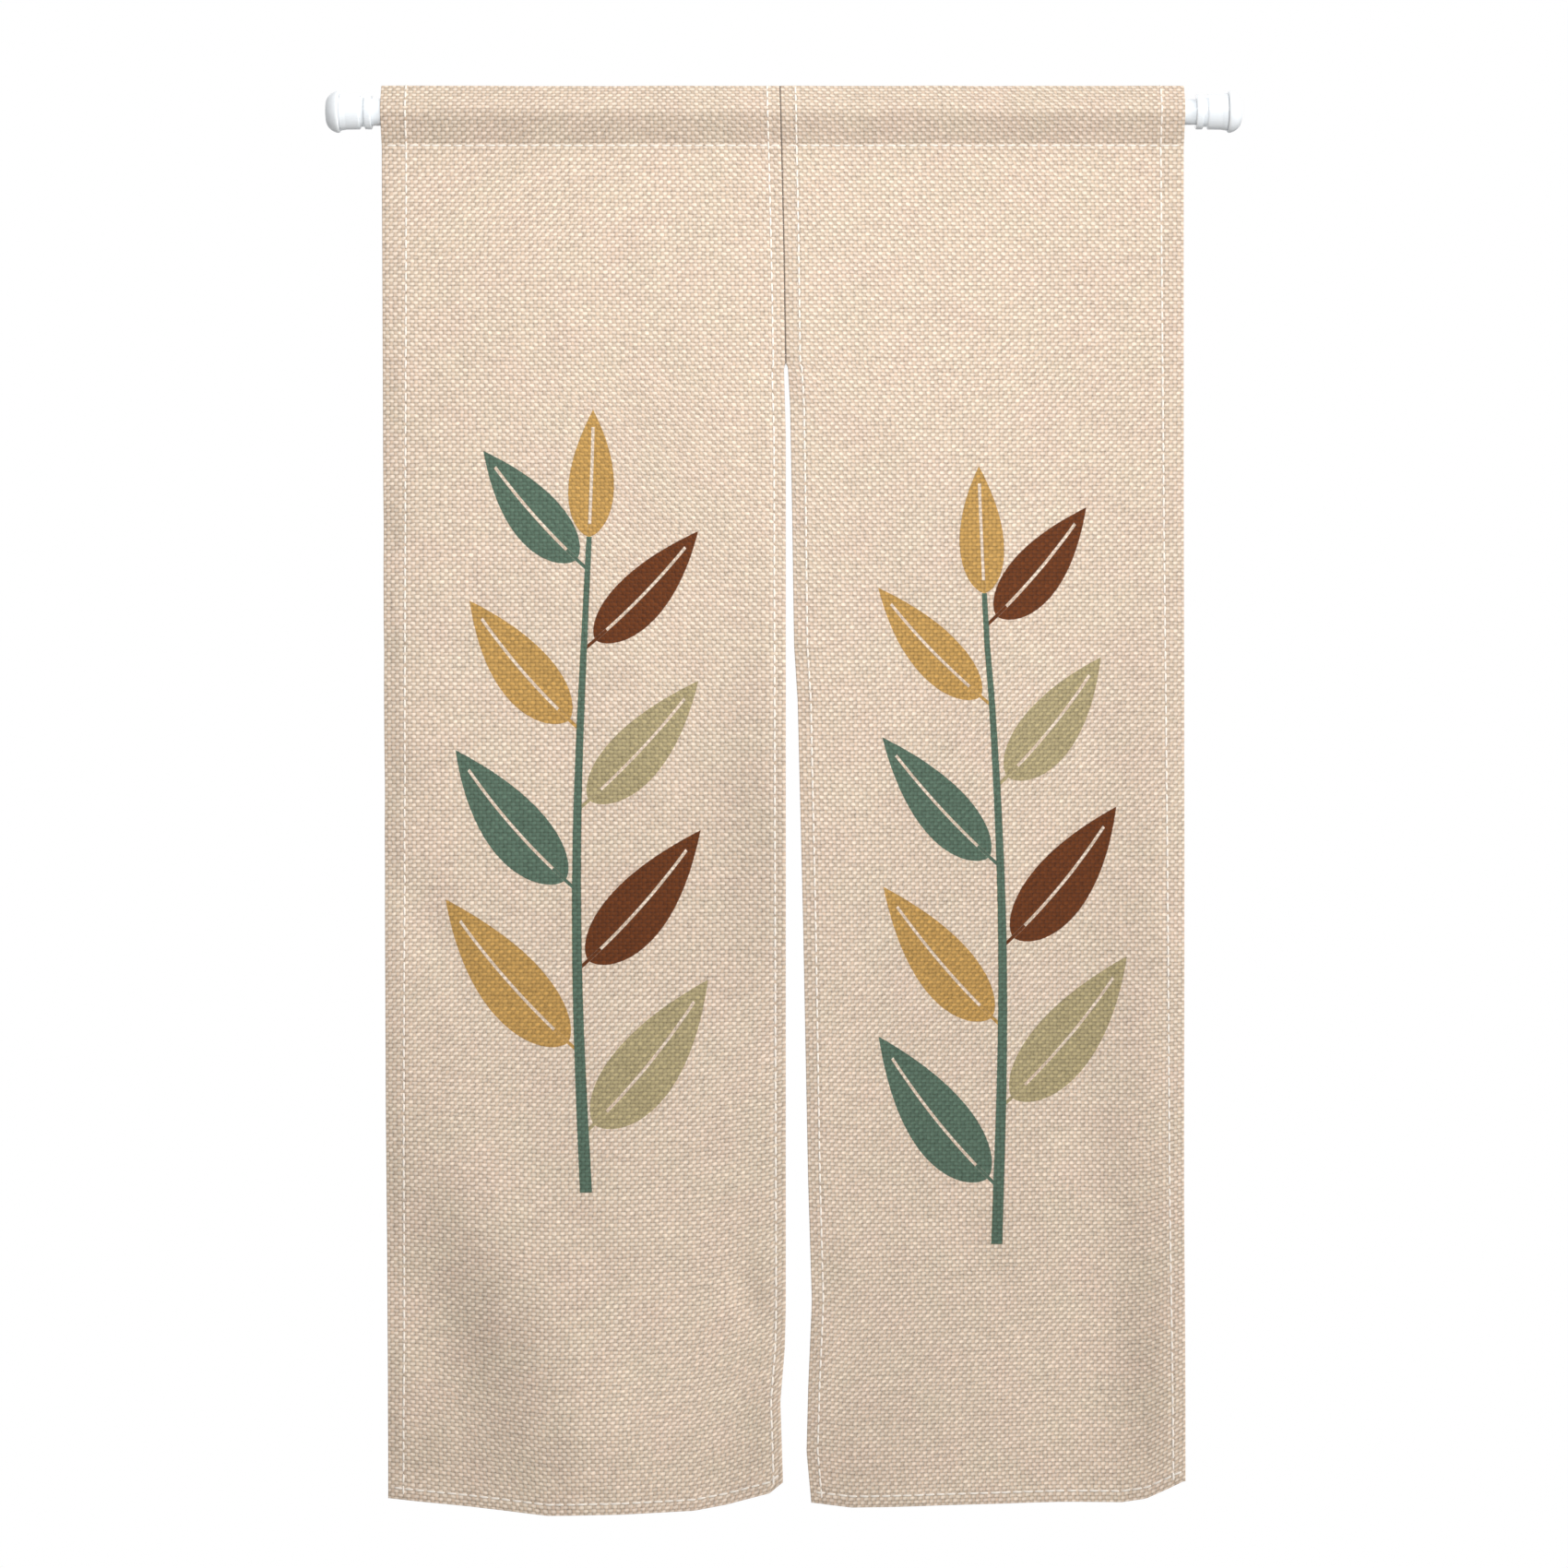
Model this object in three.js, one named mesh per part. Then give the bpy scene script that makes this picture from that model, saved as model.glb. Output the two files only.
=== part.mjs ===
// Door curtain: two cloth panels, sewn together at the top and split below, hung by their rod
// pocket on a telescoping tension rod. Millimetres, +Z up.
// X runs along the rod, and the front of the curtain faces -Y.
// The origin is the middle of the left foot's flat face, on the rod's axis.

import * as THREE from 'three';

// Rod: lengths are along X from the left foot's face, radii are about the rod's axis.
const ROD_LENGTH = 970;
const OUTER_TUBE_RADIUS = 14.5;
const INNER_TUBE_RADIUS = 13.5;
const TUBE_WALL = 0.7;
const OUTER_TUBE_MOUTH = 640;
const TUBE_OVERLAP = 150;
const SOCKET_DEPTH = 5;
const FIT_GAP = 0.3;
const ROUND_STEPS = 32;

// End pieces, outlined from the foot's face inward along the rod.
const FOOT_PROFILE = [
  { along: 0, radius: 11 },
  { along: 1.5, radius: 15 },
  { along: 5, radius: 18.8 },
  { along: 9, radius: 21 },
  { along: 13, radius: 22 },
  { along: 15, radius: 20.6 },
];
const FITTING_PROFILE = [
  { along: 15.3, radius: 19.6 },
  { along: 21.5, radius: 18.5 },
  { along: 35.6, radius: 18.3 },
  { along: 36.4, radius: 17.5 },
  { along: 36.8, radius: 15.5 },
  { along: 40.6, radius: 15.5 },
  { along: 41, radius: 17.4 },
  { along: 41.8, radius: 18.2 },
  { along: 47.9, radius: 18.2 },
  { along: 48.5, radius: 17.6 },
];

// Cloth: one layer, and the rod pocket in section. Drops are measured down from the rod's axis.
const CLOTH = 1.2;
const POCKET_TOP = 27.4;
const CREASE_RADIUS = 1.5;
const POCKET_STITCH_DROP = 35.4;
const POCKET_TURNING = 10;
const HEM_DROP = 1475;
const HEM_HEIGHT = 12;
const HEM_STEP = 0.8;
const FREE_DROP = 330;
const LEVEL_DROP = 900;

// Mesh density of a panel. SEAT_ARC is about how far the cloth lies round the rod on each side.
const SEAT_ARC = 60;
const SEAT_STEPS = 4;
const CREASE_STEPS = 6;
const FIELD_COLUMNS = 18;
const SEAM_ROWS = 4;
const SLIT_ROWS = 26;

// The seam joins the panels down to SEAM_END, where the slit starts. Its x and every x below
// are measured from the middle of the rod.
const SEAM_END = 268;
const SEAM_GAP = 0.4;
const SLIT_START = 274;
const SEAM = [
  { drop: -30, x: -3.9 },
  { drop: 77, x: -1.3 },
  { drop: 145, x: 0.2 },
  { drop: 268, x: 2.2 },
];

// Edges of the panels below the seam, and the outer sides.
const LEFT_SIDE = [
  { drop: -30, x: -426.4 },
  { drop: 1470, x: -420.3 },
];
const RIGHT_SIDE = [
  { drop: -30, x: 424.1 },
  { drop: 1150, x: 424.1 },
  { drop: 1450, x: 425.8 },
];
const LEFT_SLIT_EDGE = [
  { drop: 274, x: 0.3 },
  { drop: 340, x: 2.2 },
  { drop: 1270, x: 2.2 },
  { drop: 1310, x: 1.2 },
  { drop: 1366, x: -3.5 },
  { drop: 1445, x: -0.9 },
];
const RIGHT_SLIT_EDGE = [
  { drop: 274, x: 4.6 },
  { drop: 311, x: 6.8 },
  { drop: 428, x: 9 },
  { drop: 565, x: 11 },
  { drop: 624, x: 14.8 },
  { drop: 860, x: 20.6 },
  { drop: 1130, x: 25.8 },
  { drop: 1260, x: 29.8 },
  { drop: 1350, x: 26 },
  { drop: 1420, x: 24.2 },
  { drop: 1473, x: 29.1 },
];

// Lower edges: how far down the cloth reaches at each x.
const LEFT_LOWER_EDGE = [
  { x: -421, drop: 1471 },
  { x: -330, drop: 1478.5 },
  { x: -250, drop: 1487 },
  { x: -170, drop: 1485.5 },
  { x: -95, drop: 1482 },
  { x: -60, drop: 1475.5 },
  { x: -15, drop: 1463 },
  { x: -1, drop: 1451.5 },
];
const RIGHT_LOWER_EDGE = [
  { x: 28, drop: 1475 },
  { x: 72, drop: 1479 },
  { x: 170, drop: 1475.6 },
  { x: 290, drop: 1472.7 },
  { x: 358, drop: 1473.5 },
  { x: 384, drop: 1469.5 },
  { x: 424, drop: 1451 },
];

// Folds: soft troughs and ridges. Each is pushed back by `back` (forward if negative) at its
// middle, and fades over `width` across it and `length` along it. A fold with a lean slants,
// its lower end towards +X, by that many degrees.
const LEFT_FOLDS = [
  { name: 'slanting trough', x: -373, drop: 1278, width: 60, length: 155, lean: 22, back: 12 },
  { name: 'slanting ridge', x: -291, drop: 1248, width: 60, length: 170, lean: 22, back: -6 },
  { name: 'side', x: -450, drop: 1400, width: 80, length: 130, lean: 20, back: 12 },
  { name: 'belly', x: -205, drop: 1350, width: 120, length: 240, lean: 0, back: -9 },
  { name: 'lower roll', x: -250, drop: 1398, width: 170, length: 50, lean: -2, back: -5 },
  { name: 'slit corner', x: 18, drop: 1450, width: 50, length: 100, lean: 8, back: -8 },
  { name: 'slit ridge', x: 10, drop: 735, width: 56, length: 165, lean: 0, back: -15 },
  { name: 'upper trough', x: -255, drop: 800, width: 90, length: 320, lean: -6, back: 5 },
];
const RIGHT_FOLDS = [
  { name: 'upright trough', x: 352, drop: 1310, width: 44, length: 160, lean: 0, back: 4 },
  { name: 'upright ridge', x: 412, drop: 1310, width: 44, length: 160, lean: 0, back: -7 },
  { name: 'side ridge', x: 400, drop: 830, width: 56, length: 300, lean: -3, back: -9 },
  { name: 'belly', x: 170, drop: 1400, width: 110, length: 240, lean: -6, back: -7 },
  { name: 'slit corner', x: 22, drop: 1480, width: 45, length: 70, lean: -10, back: 6 },
  { name: 'slit edge', x: 10, drop: 1200, width: 60, length: 240, lean: 0, back: -4 },
  { name: 'upper ridge', x: 235, drop: 760, width: 95, length: 330, lean: 5, back: -3 },
];

const LEFT_PANEL = {
  name: 'left_panel',
  leftEdge: (drop) => valueAt(LEFT_SIDE, 'drop', 'x', drop),
  rightEdge: (drop) => slitSideEdge(LEFT_SLIT_EDGE, -SEAM_GAP / 2, drop),
  lowerEdge: (x) => valueAt(LEFT_LOWER_EDGE, 'x', 'drop', x),
  leftHem: { atTop: 26.2, atBottom: 16.3 },
  rightHem: { atTop: 13.5, atBottom: 10 },
  folds: LEFT_FOLDS,
};
const RIGHT_PANEL = {
  name: 'right_panel',
  leftEdge: (drop) => slitSideEdge(RIGHT_SLIT_EDGE, SEAM_GAP / 2, drop),
  rightEdge: (drop) => valueAt(RIGHT_SIDE, 'drop', 'x', drop),
  lowerEdge: (x) => valueAt(RIGHT_LOWER_EDGE, 'x', 'drop', x),
  leftHem: { atTop: 15.5, atBottom: 11.5 },
  rightHem: { atTop: 25, atBottom: 13 },
  folds: RIGHT_FOLDS,
};

// Straight-line reading of a table: the value in one column at a place in another.
function valueAt(table, placeColumn, valueColumn, place) {
  let next = 1;
  while (next < table.length - 1 && table[next][placeColumn] < place) next += 1;
  const before = table[next - 1];
  const after = table[next];
  const share = THREE.MathUtils.inverseLerp(before[placeColumn], after[placeColumn], place);
  return THREE.MathUtils.lerp(
    before[valueColumn], after[valueColumn], THREE.MathUtils.clamp(share, 0, 1));
}

// The edge beside the middle of the curtain: on the seam above, at the slit below.
function slitSideEdge(slitTable, seamOffset, drop) {
  if (drop <= SEAM_END) return valueAt(SEAM, 'drop', 'x', drop) + seamOffset;
  return valueAt(slitTable, 'drop', 'x', drop);
}

// How far back the hanging cloth lies at a place. The folds fade out towards the pocket.
function foldDepth(folds, x, drop) {
  let depth = 0;
  for (const fold of folds) {
    const lean = THREE.MathUtils.degToRad(fold.lean);
    const aside = x - fold.x;
    const below = drop - fold.drop;
    const across = (aside * Math.cos(lean) - below * Math.sin(lean)) / fold.width;
    const along = (aside * Math.sin(lean) + below * Math.cos(lean)) / fold.length;
    depth += fold.back * Math.exp(-across * across - along * along);
  }
  return depth * THREE.MathUtils.smoothstep(drop, POCKET_STITCH_DROP, FREE_DROP);
}

// Rows of the hanging part, from the lower edge up to the pocket's stitching. A hem or a
// turning adds one layer at the back.
function panelRows() {
  const rows = [
    { drop: HEM_DROP, extraLayers: 1 },
    { drop: HEM_DROP - HEM_HEIGHT, extraLayers: 1 },
  ];
  const hemTop = HEM_DROP - HEM_HEIGHT - HEM_STEP;
  for (let step = 0; step <= SLIT_ROWS; step += 1) {
    rows.push({ drop: THREE.MathUtils.lerp(hemTop, SLIT_START, step / SLIT_ROWS), extraLayers: 0 });
  }
  const turningEnd = POCKET_STITCH_DROP + POCKET_TURNING;
  for (let step = 0; step <= SEAM_ROWS; step += 1) {
    const drop = THREE.MathUtils.lerp(SEAM_END, turningEnd + HEM_STEP, step / SEAM_ROWS);
    rows.push({ drop, extraLayers: 0 });
  }
  rows.push({ drop: turningEnd, extraLayers: 1 });
  rows.push({ drop: POCKET_STITCH_DROP, extraLayers: 1 });
  return rows;
}

// Columns of a panel, from its left edge to its right. The side hems have their own columns,
// so that they keep their width.
function panelColumns(panel) {
  const hemAt = (hem, drop) => THREE.MathUtils.lerp(hem.atTop, hem.atBottom, drop / HEM_DROP);
  const fromLeft = (drop, share) => panel.leftEdge(drop) + share * hemAt(panel.leftHem, drop);
  const fromRight = (drop, share) => panel.rightEdge(drop) - share * hemAt(panel.rightHem, drop);
  const columns = [
    { xAt: (drop) => fromLeft(drop, 0), extraLayers: 1 },
    { xAt: (drop) => fromLeft(drop, 1), extraLayers: 1 },
  ];
  for (let step = 0; step <= FIELD_COLUMNS; step += 1) {
    const xAt = (drop) => THREE.MathUtils.lerp(
      fromLeft(drop, 1) + HEM_STEP, fromRight(drop, 1) - HEM_STEP, step / FIELD_COLUMNS);
    columns.push({ xAt, extraLayers: 0 });
  }
  columns.push({ xAt: (drop) => fromRight(drop, 1), extraLayers: 1 });
  columns.push({ xAt: (drop) => fromRight(drop, 0), extraLayers: 1 });
  return columns;
}

// The pocket in section, as points of the layer's inner face with the way out through the
// cloth. The cloth lies on the rod at both sides and stands above it in a pressed crease.
function pocketSection() {
  const seatHalfStep = THREE.MathUtils.degToRad(SEAT_ARC / SEAT_STEPS / 2);
  const seatRadius = (OUTER_TUBE_RADIUS + FIT_GAP) / Math.cos(seatHalfStep);
  const creaseHeight = POCKET_TOP - CLOTH - CREASE_RADIUS;
  const flankTilt = Math.asin((seatRadius - CREASE_RADIUS) / creaseHeight);
  const stitch = new THREE.Vector2(CLOTH / 2, -POCKET_STITCH_DROP);
  const seatTurn = Math.acos(seatRadius / stitch.length());
  const frontSeat = stitch.angle() - seatTurn;
  const backSeat = stitch.angle() + seatTurn - 2 * Math.PI;
  const frontFlank = Math.PI - flankTilt;
  const arc = (centreHeight, radius, startAngle, endAngle, steps) => {
    const points = [];
    for (let step = 0; step <= steps; step += 1) {
      const angle = THREE.MathUtils.lerp(startAngle, endAngle, step / steps);
      const out = new THREE.Vector2(Math.cos(angle), Math.sin(angle));
      const face = out.clone().multiplyScalar(radius).add(new THREE.Vector2(0, centreHeight));
      points.push({ face, out });
    }
    return points;
  };
  return [
    ...arc(0, seatRadius, frontSeat, frontFlank, SEAT_STEPS),
    ...arc(creaseHeight, CREASE_RADIUS, frontFlank, flankTilt, CREASE_STEPS),
    ...arc(0, seatRadius, flankTilt, backSeat, SEAT_STEPS),
  ];
}

// One column's two rings of points: the outline goes up the front, over the pocket and down
// the back, and the tunnel goes round the inside of the pocket.
function columnRings(panel, column, rows, pocket) {
  const front = [];
  const back = [];
  for (const row of rows) {
    const settle = THREE.MathUtils.clamp(
      (row.drop - LEVEL_DROP) / (HEM_DROP - HEM_HEIGHT - LEVEL_DROP), 0, 1);
    let drop = row.drop;
    for (let pass = 0; pass < 3; pass += 1) {
      drop = row.drop + settle * (panel.lowerEdge(column.xAt(drop)) - HEM_DROP);
    }
    const x = column.xAt(drop);
    const middle = foldDepth(panel.folds, x, drop);
    const layers = 1 + row.extraLayers + column.extraLayers;
    front.push(new THREE.Vector3(x, middle - CLOTH / 2, -drop));
    back.push(new THREE.Vector3(x, middle - CLOTH / 2 + layers * CLOTH, -drop));
  }
  const sectionPoint = (place) => new THREE.Vector3(column.xAt(-place.y), place.x, place.y);
  const loop = pocket.map(({ face, out }) => sectionPoint(face.clone().addScaledVector(out, CLOTH)));
  const inside = pocket.map(({ face }) => sectionPoint(face));
  const fork = sectionPoint(new THREE.Vector2(CLOTH / 2, -POCKET_STITCH_DROP));
  return { outline: [...front, ...loop, ...back.reverse()], tunnel: [fork, ...inside] };
}

// A closed sheet from the rings of all columns, with its side edges closed.
function panelGeometry(panel) {
  const rows = panelRows();
  const pocket = pocketSection();
  const columns = panelColumns(panel);
  const rings = columns.map((column) => columnRings(panel, column, rows, pocket));
  const outlineSize = rings[0].outline.length;
  const tunnelSize = rings[0].tunnel.length;
  const ringSize = outlineSize + tunnelSize;
  const outlineIndex = (column, place) => column * ringSize + (place % outlineSize);
  const tunnelIndex = (column, place) => column * ringSize + outlineSize + (place % tunnelSize);

  const faces = [];
  const addQuad = (a, b, c, d) => faces.push(a, b, c, a, c, d);
  for (let column = 0; column < columns.length - 1; column += 1) {
    for (let place = 0; place < outlineSize; place += 1) {
      addQuad(outlineIndex(column, place), outlineIndex(column + 1, place),
        outlineIndex(column + 1, place + 1), outlineIndex(column, place + 1));
    }
    for (let place = 0; place < tunnelSize; place += 1) {
      addQuad(tunnelIndex(column, place), tunnelIndex(column, place + 1),
        tunnelIndex(column + 1, place + 1), tunnelIndex(column + 1, place));
    }
  }

  const forkRow = rows.length - 1;
  const addSideEdge = (column, turned) => {
    const start = faces.length;
    for (let row = 0; row < forkRow - 1; row += 1) {
      addQuad(outlineIndex(column, row), outlineIndex(column, row + 1),
        outlineIndex(column, outlineSize - 2 - row), outlineIndex(column, outlineSize - 1 - row));
    }
    const frontBelow = outlineIndex(column, forkRow - 1);
    const backBelow = outlineIndex(column, outlineSize - forkRow);
    const fork = tunnelIndex(column, 0);
    faces.push(frontBelow, outlineIndex(column, forkRow), fork);
    faces.push(frontBelow, fork, backBelow);
    faces.push(fork, outlineIndex(column, outlineSize - 1 - forkRow), backBelow);
    for (let place = 0; place < tunnelSize; place += 1) {
      addQuad(outlineIndex(column, forkRow + place), outlineIndex(column, forkRow + place + 1),
        tunnelIndex(column, place + 1), tunnelIndex(column, place));
    }
    if (turned) faces.push(...faces.splice(start).reverse());
  };
  addSideEdge(0, false);
  addSideEdge(columns.length - 1, true);

  const points = rings.flatMap((ring) => [...ring.outline, ...ring.tunnel]);
  const geometry = new THREE.BufferGeometry().setFromPoints(points);
  geometry.setIndex(faces);
  geometry.computeVertexNormals();
  return geometry;
}

// A solid turned about the rod's axis from its outline of distances and radii.
function turnedGeometry(outline) {
  const points = outline.map(({ along, radius }) => new THREE.Vector2(radius, along));
  return new THREE.LatheGeometry(points, ROUND_STEPS);
}

function footGeometry() {
  const first = FOOT_PROFILE[0];
  const last = FOOT_PROFILE[FOOT_PROFILE.length - 1];
  return turnedGeometry([
    { along: first.along, radius: 0 },
    ...FOOT_PROFILE,
    { along: last.along, radius: 0 },
  ]);
}

// The fitting's inner end is a blind socket that holds the tube's end.
function fittingGeometry(tubeRadius) {
  const first = FITTING_PROFILE[0];
  const last = FITTING_PROFILE[FITTING_PROFILE.length - 1];
  const socketFloor = last.along - SOCKET_DEPTH - FIT_GAP;
  return turnedGeometry([
    { along: first.along, radius: 0 },
    ...FITTING_PROFILE,
    { along: last.along, radius: tubeRadius + FIT_GAP },
    { along: socketFloor, radius: tubeRadius + FIT_GAP },
    { along: socketFloor, radius: 0 },
  ]);
}

function tubeGeometry(radius, start, end) {
  return turnedGeometry([
    { along: start, radius: radius - TUBE_WALL },
    { along: start, radius },
    { along: end, radius },
    { along: end, radius: radius - TUBE_WALL },
    { along: start, radius: radius - TUBE_WALL },
  ]);
}

function material(color, roughness, metalness) {
  return new THREE.MeshStandardMaterial({ color, roughness, metalness });
}

function namedMesh(name, geometry, finish) {
  const mesh = new THREE.Mesh(geometry, finish);
  mesh.name = name;
  return mesh;
}

// Everything turned is modelled along +Y from a foot's face, and laid along the rod here.
function layAlongRod(mesh, fromRightEnd) {
  mesh.position.x = fromRightEnd ? ROD_LENGTH : 0;
  mesh.rotation.z = fromRightEnd ? Math.PI / 2 : -Math.PI / 2;
  return mesh;
}

function makeRod() {
  const rod = new THREE.Group();
  const tubeStart = FITTING_PROFILE[FITTING_PROFILE.length - 1].along - SOCKET_DEPTH;
  const innerLength = ROD_LENGTH - OUTER_TUBE_MOUTH + TUBE_OVERLAP;
  const outerTube = tubeGeometry(OUTER_TUBE_RADIUS, tubeStart, OUTER_TUBE_MOUTH);
  const innerTube = tubeGeometry(INNER_TUBE_RADIUS, tubeStart, innerLength);
  rod.add(layAlongRod(namedMesh('outer_tube', outerTube, material(0xf2f3f5, 0.3, 0.1)), false));
  rod.add(layAlongRod(namedMesh('inner_tube', innerTube, material(0xf2f3f5, 0.3, 0.1)), true));
  const ends = [
    { side: 'left', tubeRadius: OUTER_TUBE_RADIUS, fromRightEnd: false },
    { side: 'right', tubeRadius: INNER_TUBE_RADIUS, fromRightEnd: true },
  ];
  for (const { side, tubeRadius, fromRightEnd } of ends) {
    const fitting = namedMesh(
      `${side}_end_fitting`, fittingGeometry(tubeRadius), material(0xf4f5f7, 0.4, 0));
    const foot = namedMesh(`${side}_foot`, footGeometry(), material(0xf0f0ee, 0.7, 0));
    rod.add(layAlongRod(fitting, fromRightEnd), layAlongRod(foot, fromRightEnd));
  }
  return rod;
}

function makeCurtain() {
  const curtain = new THREE.Group();
  curtain.position.x = ROD_LENGTH / 2;
  for (const panel of [LEFT_PANEL, RIGHT_PANEL]) {
    curtain.add(namedMesh(panel.name, panelGeometry(panel), material(0xe2cdb5, 0.9, 0)));
  }
  return curtain;
}

const doorCurtain = new THREE.Group();
doorCurtain.add(makeRod(), makeCurtain());

export default doorCurtain;
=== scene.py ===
"""Looks of the door curtain: the cloth panels with their weave, print and sewing, and the rod.

Metres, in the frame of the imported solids: X along the rod, the curtain's front facing -Y, +Z up.
Drops are measured down from the rod's axis, and every x of the curtain from the rod's middle.
Noise scales count waves in a metre. Shares, tones and levels have no unit.
"""
import math

import bmesh
import bpy
import numpy as np
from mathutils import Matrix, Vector, noise


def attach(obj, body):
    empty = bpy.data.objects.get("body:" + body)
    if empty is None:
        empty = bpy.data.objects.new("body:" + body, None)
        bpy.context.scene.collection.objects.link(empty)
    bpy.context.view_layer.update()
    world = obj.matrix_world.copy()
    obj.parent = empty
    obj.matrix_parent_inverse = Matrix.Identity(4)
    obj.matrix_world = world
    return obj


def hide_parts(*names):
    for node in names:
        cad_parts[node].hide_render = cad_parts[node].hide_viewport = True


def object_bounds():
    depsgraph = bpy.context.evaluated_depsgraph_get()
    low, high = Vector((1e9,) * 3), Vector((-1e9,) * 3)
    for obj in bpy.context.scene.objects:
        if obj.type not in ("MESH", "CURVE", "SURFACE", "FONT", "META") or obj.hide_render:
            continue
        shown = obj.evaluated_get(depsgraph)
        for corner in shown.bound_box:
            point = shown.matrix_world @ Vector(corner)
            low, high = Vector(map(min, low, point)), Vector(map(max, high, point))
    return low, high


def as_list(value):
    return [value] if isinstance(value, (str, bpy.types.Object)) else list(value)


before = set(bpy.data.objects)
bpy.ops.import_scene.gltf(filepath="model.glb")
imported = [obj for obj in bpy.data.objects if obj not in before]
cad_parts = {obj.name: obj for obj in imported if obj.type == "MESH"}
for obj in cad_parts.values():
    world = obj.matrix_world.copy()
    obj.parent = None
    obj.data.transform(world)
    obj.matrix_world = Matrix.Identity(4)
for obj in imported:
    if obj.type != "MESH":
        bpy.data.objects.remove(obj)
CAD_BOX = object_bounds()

# The photograph's frame and viewing angle.
PHOTO_PX = 1700
METRES_PER_PX = 0.00097757
PHOTO_CENTRE_X = 0.0003
PHOTO_CENTRE_DROP = 0.7122
LENS_MM = 85.0
SENSOR_MM = 36.0

# The rod.
ROD_LENGTH = CAD_BOX[1][0] - CAD_BOX[0][0]
ROD_MIDDLE = (CAD_BOX[0][0] + CAD_BOX[1][0]) / 2
OUTER_TUBE_RADIUS = 0.0145
INNER_TUBE_RADIUS = 0.0135
TUBE_WALL = 0.0007
OUTER_TUBE_MOUTH = 0.640
TUBE_OVERLAP = 0.150
SOCKET_DEPTH = 0.005
FIT_GAP = 0.0003
LATHE_SIDES = 96

# End pieces as (distance from the foot's face, radius).
FOOT_PROFILE = [
    (0, 0.011),
    (0.0015, 0.015),
    (0.005, 0.0188),
    (0.009, 0.021),
    (0.013, 0.022),
    (0.015, 0.0206),
]
FITTING_PROFILE = [
    (0.0153, 0.0196),
    (0.0215, 0.0185),
    (0.0356, 0.0183),
    (0.0364, 0.0175),
    (0.0368, 0.0155),
    (0.0406, 0.0155),
    (0.0410, 0.0174),
    (0.0418, 0.0182),
    (0.0479, 0.0182),
    (0.0485, 0.0176),
]

# How far corners are cut, and at most which share of the edge beside them, in each round.
TUBE_EASE = 0.0002
FOOT_EASE = 0.002
FITTING_EASE = 0.0003
EASING_LIMIT = 0.25
EASING_ROUNDS = 2

# The cloth and its rod pocket. Edges that are folded or turned fade over twice TURNED_FADE.
CLOTH = 0.0012
POCKET_TOP = 0.0274
CREASE_RADIUS = 0.0015
STITCH_DROP = 0.0354
TURNING_DROP = 0.0454
TURNED_FADE = 0.0004
HEM_DROP = 1.475
HEM_HEIGHT = 0.012
HEM_OVERHANG = 0.0022
HEM_START = 0.006
FREE_DROP = 0.33
LEVEL_DROP = 0.9
LEVELLING_ROUNDS = 4
PANEL_WIDTH = 0.425
SEAM_END = 0.268
SLIT_ROUND = 0.006
SEAM_GAP = 0.0009

# The panels' grid: insets of the rounded edge, steps either side of a row of stitching, and the
# rows inside the lower hem, round the slit's top, at the turning's edge and at the heading.
EDGE_STEPS = (0.0, 0.00016, 0.0006, 0.0012)
HEM_SHARES = (0.25, 0.5, 0.75)
SEWN_REACH = 0.004
SEWN_STEPS = (-0.004, -0.0018, -0.0007, 0.0, 0.0007, 0.0018, 0.0026, 0.004)
HEM_MIDDLE = 0.0045
ARCH_SHARES = (0.6, 0.3, 0.12, 0.03, 0.0)
TURNING_CLEAR = 0.003
TURNING_STEPS = (0.0008, 0.0004, 0.0, -0.0008)
HEADING_STEPS = (SEWN_REACH, 0.0018, 0.0007, 0.0)
FIELD_COLUMNS = 78
FIELD_ROWS = 236
SEAMED_ROWS = 44
MERGE_DISTANCE = 1e-6
TINY = 1e-12

# Steps round the pocket: from its fork to the rod, round the rod, up to the crease, and round it.
FORK_STEPS = 8
SEAT_STEPS = 10
FLANK_STEPS = 6
CREASE_STEPS = 12

# A panel's places on a flat picture: its front and back side by side, and the tunnel below.
BAKE_MARGIN = 0.01
BAKE_WIDTH = 0.475
BAKE_SECOND = 0.505
BAKE_HEIGHT = 0.98
BAKE_TUNNEL = 0.12

# Unevenness of the hanging cloth: how deep it is, its waves in a metre across and down, its seed,
# and how far it reaches from its line.
PANEL_SEED = 3.1
UNEVEN_WIDE = dict(depth=0.0016, across=9, down=5, seed=0)
UNEVEN_FINE = dict(depth=0.0007, across=34, down=22, seed=7, at_heading=0.3)
EDGE_CURL = dict(depth=0.0012, reach=0.012)
SIDE_PUCKER = dict(depth=0.0005, across=0, down=42, seed=20, reach=0.016)
HEM_PUCKER = dict(depth=0.0005, across=42, down=0, seed=30, reach=0.014)
HEADING_PUCKER = dict(depth=0.0007, across=22, down=0, seed=40, reach=0.010, start=0.003, pull=1.6)
POCKET_SLACK = dict(depth=0.0006, across=16, down=3, seed=5.7, level=0.5)
STITCH_PINCH = dict(depth=0.0004, reach=0.0016)

# Sewing thread: rings at shares of a stitch's length, and how much stitches differ.
THREAD_STATIONS = (0.0, 0.04, 0.14, 0.38, 0.62, 0.86, 0.96, 1.0)
THREAD_SIDES = 6
THREAD_BLUNTNESS = 4
THREAD_CELL = 0.9
STITCH_SPREAD = dict(slip=0.0003, stretch=0.05, skew=0.0002)
HEM_STITCH = dict(
    pitch=0.0116, length=0.0094, width=0.0023, height=0.0008, lift=0.0006, skew=0.0, seed=11)
SEAM_STITCH = dict(
    pitch=0.003, length=0.0037, width=0.0018, height=0.0012, lift=0.0, skew=0.0007, seed=5)

# Points left off at a line's ends, and the left panel's column that faces as the seam does.
LINE_ENDS = 2
SEAM_FACING = -6

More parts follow.
